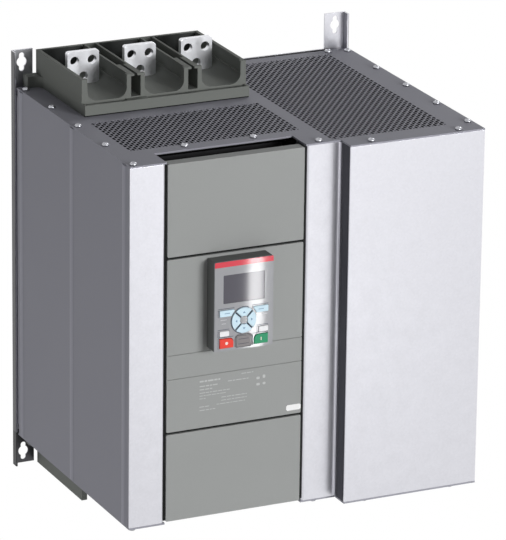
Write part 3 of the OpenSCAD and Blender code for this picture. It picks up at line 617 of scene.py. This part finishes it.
STEEL_COLOUR = (168, 169, 174)
HEAD_RADIUS = 0.0043
HEAD_REACH = 2.2 * HEAD_RADIUS
HEAD_PROFILE = ((1.0, 0.0), (1.0, 0.0012), (0.93, 0.0020), (0.76, 0.0027), (0.52, 0.0031))
HEAD_SIDES = 24
SOCKET_DEPTH = 0.0016
SOCKET_RADIUS = 0.0016
SOCKET_LOBE = 0.00028
SOCKET_LOBES = 6
ON_PLATE = 1e-5


def screw_places():
    """Centres of the screws on one plate, from the separate heads of the CAD node."""
    top_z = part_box("top_plate")[1].z
    groups = []
    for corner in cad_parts["case_screws"].data.vertices:
        rim = corner.co
        if abs(rim.z - top_z) >= ON_PLATE:
            continue
        for group in groups:
            if (group[0] - rim).length < HEAD_REACH:
                group.append(rim)
                break
        else:
            groups.append([rim])
    return [((min(p.x for p in g) + max(p.x for p in g)) / 2,
             (min(p.y for p in g) + max(p.y for p in g)) / 2) for g in groups]


def socket_screws():
    """All the heads, with those of the bottom plate as a mirror image of those on top."""
    top_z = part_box("top_plate")[1].z
    turns = [2 * math.pi * k / HEAD_SIDES for k in range(HEAD_SIDES)]
    rim_z = HEAD_PROFILE[-1][1]
    rings = [[(HEAD_RADIUS * share, height)] * HEAD_SIDES for share, height in HEAD_PROFILE]
    for height in (rim_z, rim_z - SOCKET_DEPTH):
        rings.append([(SOCKET_RADIUS + SOCKET_LOBE * math.cos(SOCKET_LOBES * turn), height) for turn in turns])
    heads = bmesh.new()
    for x, y in screw_places():
        for side in (1, -1):
            made = [[heads.verts.new((x + r * math.cos(turn), y + side * r * math.sin(turn), side * (top_z + h)))
                     for turn, (r, h) in zip(turns, ring)] for ring in rings]
            for lower, upper in zip(made, made[1:]):
                for k in range(HEAD_SIDES):
                    n = (k + 1) % HEAD_SIDES
                    heads.faces.new((lower[k], lower[n], upper[n], upper[k])).smooth = True
            heads.faces.new(list(reversed(made[0])))
            heads.faces.new(made[-1])
    return link_mesh("socket_screws", heads, screw_steel)


screw_steel = drawn("plated_steel", STEEL_COLOUR, lines=(300, 300, 300), contrast=0.05, gloss=0.3, relief=0.00001)
screws = socket_screws()
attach(screws, "cabinet")
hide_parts("case_screws")


# Terminal shrouds
# Dark grey glass-filled mouldings over the top and under the bottom, with three open bays each.
# Slots with lips between the bays take barrier sheets; lugs at the rear hold them down.

SHROUD_COLOUR = (126, 129, 125)
SHROUD_EDGE = 0.0005

shroud_plastic = grained("shroud_moulding", SHROUD_COLOUR, grain=1500, drift=0.04, gloss=0.58, relief=0.00005,
                         specular=0.08)
coat(shroud_plastic, "line_terminal_shroud", "motor_terminal_shroud")
soften(SHROUD_EDGE, "line_terminal_shroud", "motor_terminal_shroud")


# Dark strips under the shrouds
# A black rubber strip, laid in the rebate along the front of each plinth.
# They are painted shade: a dark line between plinth and plate, where a shadow falls.

SHADE_LINE_COLOUR = (14, 14, 15)
SHADE_LINE_REACH = 0.0013
SHADE_LINE_SET = 0.0004
SHADE_LINE_DEEP = 0.0024
SHADE_LINE_ROUND = 5
PLINTH_HALF = 0.1038


def shade_line_strip(name, node, plate_z, up):
    """A strip with a rounded front, from one end of the plinth to the other."""
    middle = (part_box("line_bar_1")[0].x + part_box("line_bar_3")[1].x) / 2
    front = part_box(node)[0].y + SHADE_LINE_SET
    radius = SHADE_LINE_REACH / 2
    section = [(front + SHADE_LINE_DEEP, 0.0), (front + SHADE_LINE_DEEP, SHADE_LINE_REACH)]
    for k in range(SHADE_LINE_ROUND + 1):
        turn = math.pi * (0.5 + k / SHADE_LINE_ROUND)
        section.append((front + radius * (1 + math.cos(turn)), radius * (1 + math.sin(turn))))
    strip = bmesh.new()
    left, right = ([strip.verts.new((middle + side * PLINTH_HALF, y, plate_z + up * z)) for y, z in section]
                   for side in (-1, 1))
    for (a, b), (c, d) in zip(around(left), around(right)):
        strip.faces.new((a, b, d, c))
    strip.faces.new(list(reversed(left)))
    strip.faces.new(right)
    bmesh.ops.recalc_face_normals(strip, faces=strip.faces)
    return link_mesh(name, strip, rubber)


rubber = grained("shade_line_rubber", SHADE_LINE_COLOUR, grain=1800, drift=0.1, gloss=0.8, relief=0.00003, specular=0.05)
for name, node, plate_z, up in (
        ("upper_shroud_shade_line", "line_terminal_shroud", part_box("top_plate")[1].z, 1),
        ("lower_shroud_shade_line", "motor_terminal_shroud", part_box("bottom_plate")[0].z, -1)):
    shade_line = shade_line_strip(name, node, plate_z, up)
    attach(shade_line, "cabinet")


# Dark sheets behind the bars
# Thin dark sheets, cut with clipped corners and stuck to the rear wall of each bay.
# They are painted shade on the rear walls, which lie in shadow behind the bars.

SHADE_SHEET_COLOUR = (66, 68, 67)
SHEET_HALF = 0.0268
SHEET_HIGH = 0.027
SHEET_CLIP = 0.002
SHEET_THICK = 0.0005
SHEET_GAP = 0.0001
SHEET_DROP = 0.0006
REAR_WALL = 0.0035


def flat_shapes(name, outlines, face_y, depth, material):
    """Thin plates on a face that looks to -Y; an outline is X, Z in metres, anticlockwise from the front."""
    plates = bmesh.new()
    for outline in outlines:
        front = [plates.verts.new((x, face_y - depth, z)) for x, z in outline]
        rear = [plates.verts.new((x, face_y, z)) for x, z in outline]
        plates.faces.new(front)
        plates.faces.new(list(reversed(rear)))
        for (a, b), (c, d) in zip(around(front), around(rear)):
            plates.faces.new((b, a, c, d))
    return link_mesh(name, plates, material)


def bay_sheets(name, node, side, up):
    """Three sheets, one behind each bar of a shroud."""
    low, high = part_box(node)
    rim = (high.z if up > 0 else low.z) - up * SHEET_DROP
    outline = [(-SHEET_HALF, -SHEET_HIGH), (SHEET_HALF, -SHEET_HIGH), (SHEET_HALF, -SHEET_CLIP),
               (SHEET_HALF - SHEET_CLIP, 0.0), (SHEET_CLIP - SHEET_HALF, 0.0), (-SHEET_HALF, -SHEET_CLIP)]
    outlines = []
    for phase in ("1", "2", "3"):
        left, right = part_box(f"{side}_bar_{phase}")
        outlines.append([((left.x + right.x) / 2 + x, rim + up * z) for x, z in outline[::up]])
    return flat_shapes(name, outlines, high.y - REAR_WALL - SHEET_GAP, SHEET_THICK, painted_shade_board)


painted_shade_board = grained("painted_shade_board", SHADE_SHEET_COLOUR, grain=900, drift=0.12, gloss=0.7, relief=0.00002, specular=0.05)
for name, node, side, up in (("line_bay_shade_sheets", "line_terminal_shroud", "line", 1),
                             ("motor_bay_shade_sheets", "motor_terminal_shroud", "motor", -1)):
    sheets = bay_sheets(name, node, side, up)
    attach(sheets, "cabinet")


# Terminal bars
# Flat copper bars, tin-plated, with three bolt holes at the end that stands in the bay.
# Each runs down inside to its thyristor module.

TIN_COLOUR = (232, 233, 237)
TIN_METAL = 0.85
BAR_EDGE = 0.0006

tin = drawn("tinned_copper", TIN_COLOUR, lines=(90, 90, 40), contrast=0.012, gloss=0.34, relief=0.000001,
            metal=TIN_METAL)
for phase in ("1", "2", "3"):
    coat(tin, "line_bar_" + phase, "motor_bar_" + phase)
    soften(BAR_EDGE, "line_bar_" + phase, "motor_bar_" + phase)


# Front strips and front of the right-hand box
# Bare zinc-coated sheet. The strips are folded back beside the covers, and the right-hand one
# ends in a lip against the step.

zinc = zinc_finish("zinc_sheet")
coat(zinc, "left_front_strip", "right_front_strip", "right_front_panel")
soften(SHEET_EDGE, "left_front_strip", "right_front_strip", "right_front_panel")


# Front frame, control board and plug-in terminals
# A dark moulded plate behind the covers, the control board on it, and two rows of green terminals.
# They show only when a cover is off.

FRAME_COLOUR = (34, 35, 35)
BOARD_COLOUR = (34, 96, 66)
TERMINAL_COLOUR = (62, 142, 88)

frame_plastic = grained("frame_moulding", FRAME_COLOUR, grain=1400, drift=0.05, gloss=0.6, relief=0.00004,
                        specular=0.05)
board_laminate = grained("board_laminate", BOARD_COLOUR, grain=500, drift=0.12, gloss=0.4, relief=0.00003)
terminal_plastic = grained("terminal_moulding", TERMINAL_COLOUR, grain=1500, drift=0.04, gloss=0.5, relief=0.00003)
coat(frame_plastic, "front_frame")
coat(board_laminate, "control_board", "keypad_board")
coat(terminal_plastic, "control_terminals")


# Front covers
# Light grey mouldings with a fine texture, clipped onto the frame between the strips.
# The middle one is fixed, has two fine grooves across it and holds the keypad.

COVER_COLOUR = (160, 162, 161)
COVER_EDGE = 0.0006

cover_plastic = grained("cover_moulding", COVER_COLOUR, grain=1300, drift=0.02, gloss=0.55, relief=0.00005,
                        specular=0.1)
coat(cover_plastic, "upper_cover", "middle_panel", "lower_cover")
soften(COVER_EDGE, "upper_cover", "middle_panel", "lower_cover")


# Rating field and label
# Pale screen print on the middle panel, shown as plain bars, and a blank white paper label.
# Both lie on the panel's face. Bars and label are left, lower, width and height in millimetres.

PRINT_COLOUR = (190, 192, 192)
PRINT_DEPTH = 0.00006
PRINT_WORDS = (5.2, 3.4, 7.0, 4.2, 2.6, 6.0)
PRINT_GAP = 0.9
PRINT_REST = 1.0
PRINT_ROWS = (
    (-129.5, -50.6, 26.0, 1.9), (-77.0, -47.4, 15.0, 0.9), (-129.5, -56.2, 23.0, 1.3), (-94.0, -54.2, 27.0, 1.0),
    (-129.5, -60.2, 16.0, 1.2), (-129.5, -64.2, 38.0, 0.9), (-129.5, -67.6, 33.0, 0.8), (-129.5, -71.0, 9.0, 0.8),
    (-102.0, -72.6, 32.0, 0.9), (-102.0, -76.4, 32.0, 0.8), (-129.5, -81.0, 13.0, 0.9), (-108.0, -80.4, 36.0, 0.8),
    (-129.5, -85.2, 20.0, 0.9),
)
PRINT_SQUARES = (
    (-58.0, -57.0, 4.2, 3.0), (-50.0, -56.4, 3.2, 4.0), (-58.0, -64.6, 4.4, 3.0), (-50.0, -64.2, 3.6, 2.8),
)
LABEL = (-19.6, -101.6, 18.4, 7.0)
LABEL_DEPTH = 0.00015
LABEL_COLOUR = (246, 246, 246)
NICK_SHARE = 0.22


def nicked_bar(left, low, width, height):
    """A bar with nicked corners, in metres from millimetres."""
    x0, x1, z0, z1 = (v / 1000 for v in (left, left + width, low, low + height))
    nick = min(x1 - x0, z1 - z0) * NICK_SHARE
    return [(x0 + nick, z0), (x1 - nick, z0), (x1, z0 + nick), (x1, z1 - nick),
            (x1 - nick, z1), (x0 + nick, z1), (x0, z1 - nick), (x0, z0 + nick)]


def printed_words():
    """Each row of print broken into bars of word length; a short rest at the end stays empty."""
    bars = []
    for left, low, length, height in PRINT_ROWS:
        x = left
        while x < left + length - PRINT_REST:
            word = min(PRINT_WORDS[len(bars) % len(PRINT_WORDS)], left + length - x)
            bars.append((x, low, word, height))
            x += word + PRINT_GAP
    return bars + list(PRINT_SQUARES)


print_ink = grained("screen_print", PRINT_COLOUR, grain=2500, drift=0.05, gloss=0.5, relief=0.00001)
label_paper = grained("label_paper", LABEL_COLOUR, grain=1800, drift=0.02, gloss=0.55, relief=0.00002)
panel_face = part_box("middle_panel")[0].y
words = [nicked_bar(*word) for word in printed_words()]
rating = flat_shapes("rating_print", words, panel_face, PRINT_DEPTH, print_ink)
label = flat_shapes("blank_label", [nicked_bar(*LABEL)], panel_face, LABEL_DEPTH, label_paper)
for piece in (rating, label):
    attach(piece, "cabinet")


# Keypad
# A dark rear case, a grey face under a clear film with a coloured band, and a display window.
# Soft keys, arrow keys and run keys stand through the face, and a flap covers the service socket.

CASE_COLOUR = (100, 102, 101)
FACE_COLOUR = (160, 161, 165)
BAND_COLOUR = (222, 62, 78)
WINDOW_COLOUR = (82, 80, 90)
CLEAR_FILM = {"Coat Weight": 1.0, "Coat Roughness": 0.035}
KEY_FINISHES = {
    "blue": ((212, 237, 250), ("left_soft_key", "right_soft_key", "up_key", "down_key", "left_key", "right_key")),
    "white": ((244, 244, 246), ("help_key", "local_key")),
    "stop": ((238, 66, 50), ("stop_key",)),
    "start": ((44, 150, 106), ("start_key",)),
    "flap": ((136, 132, 133), ("service_flap",)),
}
KEY_EDGE = 0.0004
ARROW_COLOUR = (120, 160, 190)
SYMBOL_COLOUR = (250, 232, 224)
MARK_DEPTH = 0.00008
ARROW = [(-1.8, -0.9), (1.8, -0.9), (0.0, 1.3)]
DASH = [(-3.4, -0.4), (3.4, -0.4), (3.4, 0.4), (-3.4, 0.4)]
BAR = [(-0.5, -1.9), (0.5, -1.9), (0.5, 1.9), (-0.5, 1.9)]
STOP_RADIUS = 1.9


def turned(outline, degrees):
    """An outline turned about the origin."""
    turn = Matrix.Rotation(math.radians(degrees), 2)
    return [tuple(turn @ Vector(p)) for p in outline]


def about(middle, outline):
    """An outline in millimetres, laid round a middle in metres."""
    return [(middle.x + x / 1000, middle.z + z / 1000) for x, z in outline]


case_plastic = grained("keypad_case_moulding", CASE_COLOUR, grain=1600, drift=0.04, gloss=0.5, relief=0.00004,
                       specular=0.12)
face_film = grained("keypad_film", FACE_COLOUR, grain=2600, drift=0.015, gloss=0.42, relief=0.00001,
                    specular=0.0, film=CLEAR_FILM)
band_film = grained("band_film", BAND_COLOUR, grain=2600, drift=0.02, gloss=0.4, relief=0.00001,
                    specular=0.0, film=CLEAR_FILM)
window_film = grained("window_film", WINDOW_COLOUR, grain=3200, drift=0.03, gloss=0.3, relief=0.000005,
                      specular=0.0, film=CLEAR_FILM)
coat(case_plastic, "keypad_case")
coat(face_film, "keypad_face")
coat(band_film, "colour_band")
coat(window_film, "display_window")
soften(KEY_EDGE, "keypad_case", "keypad_face")
for name, (colour, keys) in KEY_FINISHES.items():
    coat(grained(name + "_key_moulding", colour, grain=2200, drift=0.02, gloss=0.42, relief=0.00002, specular=0.4),
         *keys)
    soften(KEY_EDGE, *keys)

arrow_ink = grained("arrow_ink", ARROW_COLOUR, grain=2500, drift=0.04, gloss=0.45, relief=0.00001)
symbol_ink = grained("symbol_ink", SYMBOL_COLOUR, grain=2500, drift=0.03, gloss=0.45, relief=0.00001)
stop_sign = [(STOP_RADIUS * math.cos(a), STOP_RADIUS * math.sin(a))
             for a in (math.radians(22.5 + 45 * k) for k in range(8))]
for node, outline, ink in (
        ("up_key", turned(ARROW, 0), arrow_ink), ("left_key", turned(ARROW, 90), arrow_ink),
        ("down_key", turned(ARROW, 180), arrow_ink), ("right_key", turned(ARROW, 270), arrow_ink),
        ("left_soft_key", DASH, arrow_ink), ("right_soft_key", DASH, arrow_ink),
        ("stop_key", stop_sign, symbol_ink), ("start_key", BAR, symbol_ink)):
    low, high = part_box(node)
    mark = flat_shapes(node + "_mark", [about((low + high) / 2, outline)], low.y, MARK_DEPTH, ink)
    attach(mark, node)


# Print, painted shade and flap surround on the keypad
# Dark lines on the film round the keys and across the flap, painted shade of the gaps and grooves,
# pale legend bars beside the ring, and a moulded arch stuck on round the flap. All their measures are in
# millimetres.

KEY_SHADE_INK = (62, 68, 84)
LEGEND_INK = (198, 198, 202)
ARCH_COLOUR = (104, 101, 103)
LINE_GAP = 0.7
LINE_WIDTH = 0.55
RING_SIDES = 48
RING_LINE = (15.9, 16.5)
RING_FROM = 70
RING_SWEEP = 190
SPOKE = (5.6, -0.5, 9.0, 1.0)
LEGEND_BARS = (
    (-29.2, -16.4, 8.0, 0.9), (-27.6, -20.9, 5.2, 0.9), (21.4, -11.6, 8.0, 0.8), (22.8, -15.4, 6.4, 0.8),
)
ARCH_HALF = 9.9
ARCH_WIDTH = 1.1
ARCH_LOW = -50.2
ARCH_HIGH = -35.6
ARCH_ROUND = 4.5
ARCH_STEPS = 6
ARCH_DEPTH = 0.0005
FLAP_GROOVES = ((-6.4, 2.6, 12.8, 0.5), (-6.4, -3.2, 12.8, 0.5))


def bar(left, low, width, height):
    """A rectangle from its lower left corner."""
    return [(left, low), (left + width, low), (left + width, low + height), (left, low + height)]


def key_shade_lines(middle):
    """Painted shade lines over and left of each straight key, round the ring and between its arrow keys."""
    shapes = []
    for node in ("left_soft_key", "right_soft_key", "help_key", "local_key", "stop_key", "start_key"):
        low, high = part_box(node)
        size = (high - low) * 1000
        left = -LINE_GAP - LINE_WIDTH
        shapes.append(about(low, bar(left, 0, LINE_WIDTH, size.z)))
        shapes.append(about(low, bar(left, size.z + LINE_GAP, size.x + LINE_GAP, LINE_WIDTH)))
    centre = Vector((middle.x, 0, (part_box("up_key")[1].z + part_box("down_key")[0].z) / 2))
    turns = [math.radians(RING_FROM + RING_SWEEP * k / RING_SIDES) for k in range(RING_SIDES + 1)]
    inner, outer = ([(radius * math.cos(t), radius * math.sin(t)) for t in turns] for radius in RING_LINE)
    shapes.append(about(centre, outer + inner[::-1]))
    for degrees in (45, 135, 225, 315):
        shapes.append(about(centre, turned(bar(*SPOKE), degrees)))
    return shapes


def arch_side(half, top, radius):
    """One edge of the arch, from its left foot over the top to its right foot."""
    points = [(-half, ARCH_LOW)]
    for side, first in ((-1, 180), (1, 90)):
        for k in range(ARCH_STEPS + 1):
            turn = math.radians(first - 90 * k / ARCH_STEPS)
            points.append((side * (half - radius) + radius * math.cos(turn),
                           top - radius + radius * math.sin(turn)))
    return points + [(half, ARCH_LOW)]


painted_shade_ink = grained("painted_shade_ink", KEY_SHADE_INK, grain=2500, drift=0.04, gloss=0.5, relief=0.00001, specular=0.1)
legend_ink = grained("legend_ink", LEGEND_INK, grain=2500, drift=0.04, gloss=0.5, relief=0.00001, specular=0.1)
arch_plastic = grained("arch_moulding", ARCH_COLOUR, grain=2200, drift=0.03, gloss=0.5, relief=0.00002,
                       specular=0.2)
pad_low, pad_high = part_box("keypad_face")
pad_middle = (pad_low + pad_high) / 2
flap_low, flap_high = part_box("service_flap")
flap_middle = (flap_low + flap_high) / 2
legend = [about(pad_middle, bar(*shape)) for shape in LEGEND_BARS]
grooves = [about(flap_middle, bar(*shape)) for shape in FLAP_GROOVES]
arch_inner = arch_side(ARCH_HALF, ARCH_HIGH - ARCH_WIDTH, ARCH_ROUND - ARCH_WIDTH)
arch_outer = arch_side(ARCH_HALF + ARCH_WIDTH, ARCH_HIGH, ARCH_ROUND)
arch = about(pad_middle, arch_inner + arch_outer[::-1])
for piece, body in (
        (flat_shapes("key_shade_lines", key_shade_lines(pad_middle), pad_low.y, MARK_DEPTH, painted_shade_ink), "keypad"),
        (flat_shapes("legend_bars", legend, pad_low.y, MARK_DEPTH, legend_ink), "keypad"),
        (flat_shapes("flap_arch", [arch], pad_low.y, ARCH_DEPTH, arch_plastic), "keypad"),
        (flat_shapes("flap_groove_shade", grooves, flap_low.y, MARK_DEPTH, painted_shade_ink), "service_flap")):
    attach(piece, body)


# Studio
# A pale floor well below the part, as it hangs on a wall, that fades to white away from it.
# A large soft lamp in front, weak ones behind the top and at the left, and a strip for the keypad's film.

FLOOR_DROP = 0.6
FLOOR_COLOUR = (246, 246, 246)
FLOOR_HALF = 14
FLOOR_SQUARES = 8
FADE_FROM = 0.6
FADE_TO = 1.3
AMBIENT = 0.11


def seen_directly(tree):
    """1 on rays that show a thing, 0 on those that only light one."""
    paths = tree.nodes.new("ShaderNodeLightPath")
    seen = sums(tree, "MAXIMUM", paths.outputs["Is Camera Ray"], paths.outputs["Is Glossy Ray"])
    return sums(tree, "MAXIMUM", seen, paths.outputs["Is Transmission Ray"])


def studio_floor():
    """A matt floor that glows white where it is far from the part."""
    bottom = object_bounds()[0].z - FLOOR_DROP
    ground = bmesh.new()
    bmesh.ops.create_grid(ground, x_segments=FLOOR_SQUARES, y_segments=FLOOR_SQUARES, size=FLOOR_HALF)
    bmesh.ops.translate(ground, verts=ground.verts, vec=(0, 0, bottom))
    material = bpy.data.materials.new("pale_floor")
    material.use_nodes = True
    tree = material.node_tree
    shader = tree.nodes["Principled BSDF"]
    shader.inputs["Base Color"].default_value = linear(FLOOR_COLOUR)
    shader.inputs["Roughness"].default_value = 0.9
    shader.inputs["Specular IOR Level"].default_value = 0.0
    white = tree.nodes.new("ShaderNodeEmission")
    distance = tree.nodes.new("ShaderNodeVectorMath")
    distance.operation = "LENGTH"
    tree.links.new(object_place(tree), distance.inputs[0])
    fade = tree.nodes.new("ShaderNodeMapRange")
    fade.inputs["From Min"].default_value = FADE_FROM
    fade.inputs["From Max"].default_value = FADE_TO
    tree.links.new(distance.outputs["Value"], fade.inputs["Value"])
    mix = tree.nodes.new("ShaderNodeMixShader")
    tree.links.new(sums(tree, "MULTIPLY", fade.outputs["Result"], seen_directly(tree)), mix.inputs["Fac"])
    tree.links.new(shader.outputs["BSDF"], mix.inputs[1])
    tree.links.new(white.outputs["Emission"], mix.inputs[2])
    tree.links.new(mix.outputs["Shader"], tree.nodes["Material Output"].inputs["Surface"])
    return link_mesh("studio_floor", ground, material)


def lamp(name, place, target, size, power):
    """A rectangular area lamp that looks at a point."""
    data = bpy.data.lights.new(name, "AREA")
    data.shape = "RECTANGLE"
    data.size, data.size_y = size
    data.energy = power
    source = bpy.data.objects.new(name, data)
    source.location = place
    source.rotation_euler = (Vector(target) - Vector(place)).to_track_quat("-Z", "Y").to_euler()
    bpy.context.scene.collection.objects.link(source)


studio_floor()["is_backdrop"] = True
lamp("front_softbox", place=(1.1, -3.5, 0.85), target=(0, -0.2, 0), size=(1.4, 0.9), power=86.0)
lamp("rear_top_lamp", place=(1.4, 0.9, 1.7), target=(0, -0.2, 0.2), size=(0.6, 0.6), power=9.0)
lamp("left_fill", place=(-2.6, -0.15, -0.35), target=(-0.2, -0.15, 0), size=(1.2, 1.0), power=11.5)
lamp("keypad_strip", place=(0.891, -2.40, -0.74), target=pad_middle, size=(0.024, 0.34), power=0.45)

world = bpy.data.worlds.new("studio_light")
world.use_nodes = True
sky = world.node_tree
background = sky.nodes["Background"]
background.inputs["Color"].default_value = (1, 1, 1, 1)
strength = sky.nodes.new("ShaderNodeMapRange")
strength.inputs["To Min"].default_value = AMBIENT
strength.inputs["To Max"].default_value = 1.0
sky.links.new(seen_directly(sky), strength.inputs["Value"])
sky.links.new(strength.outputs["Result"], background.inputs["Strength"])
bpy.context.scene.world = world
bpy.context.scene.view_settings.view_transform = "Standard"


# Camera
# Left of the front and above it, far away behind a long lens, and very slightly rolled.

CAMERA_PLACE = (-2.2007, -4.8726, 1.7962)
CAMERA_AZIMUTH = -25.278
CAMERA_ELEVATION = 18.968
CAMERA_ROLL = 0.727
CAMERA_LENS = 310.44
CAMERA_SENSOR = 36

azimuth, elevation = math.radians(CAMERA_AZIMUTH), math.radians(CAMERA_ELEVATION)
back = Vector((math.sin(azimuth) * math.cos(elevation), -math.cos(azimuth) * math.cos(elevation),
               math.sin(elevation)))
level = Vector((0, 0, 1)).cross(back).normalized()
upward = back.cross(level)
roll = math.radians(CAMERA_ROLL)
right = math.cos(roll) * level + math.sin(roll) * upward
top_side = math.cos(roll) * upward - math.sin(roll) * level
lens = bpy.data.cameras.new("camera")
lens.lens = CAMERA_LENS
lens.sensor_width = CAMERA_SENSOR
camera = bpy.data.objects.new("camera", lens)
camera.matrix_world = Matrix((
    (right.x, top_side.x, back.x, CAMERA_PLACE[0]),
    (right.y, top_side.y, back.y, CAMERA_PLACE[1]),
    (right.z, top_side.z, back.z, CAMERA_PLACE[2]),
    (0, 0, 0, 1)))
bpy.context.scene.collection.objects.link(camera)
bpy.context.scene.camera = camera
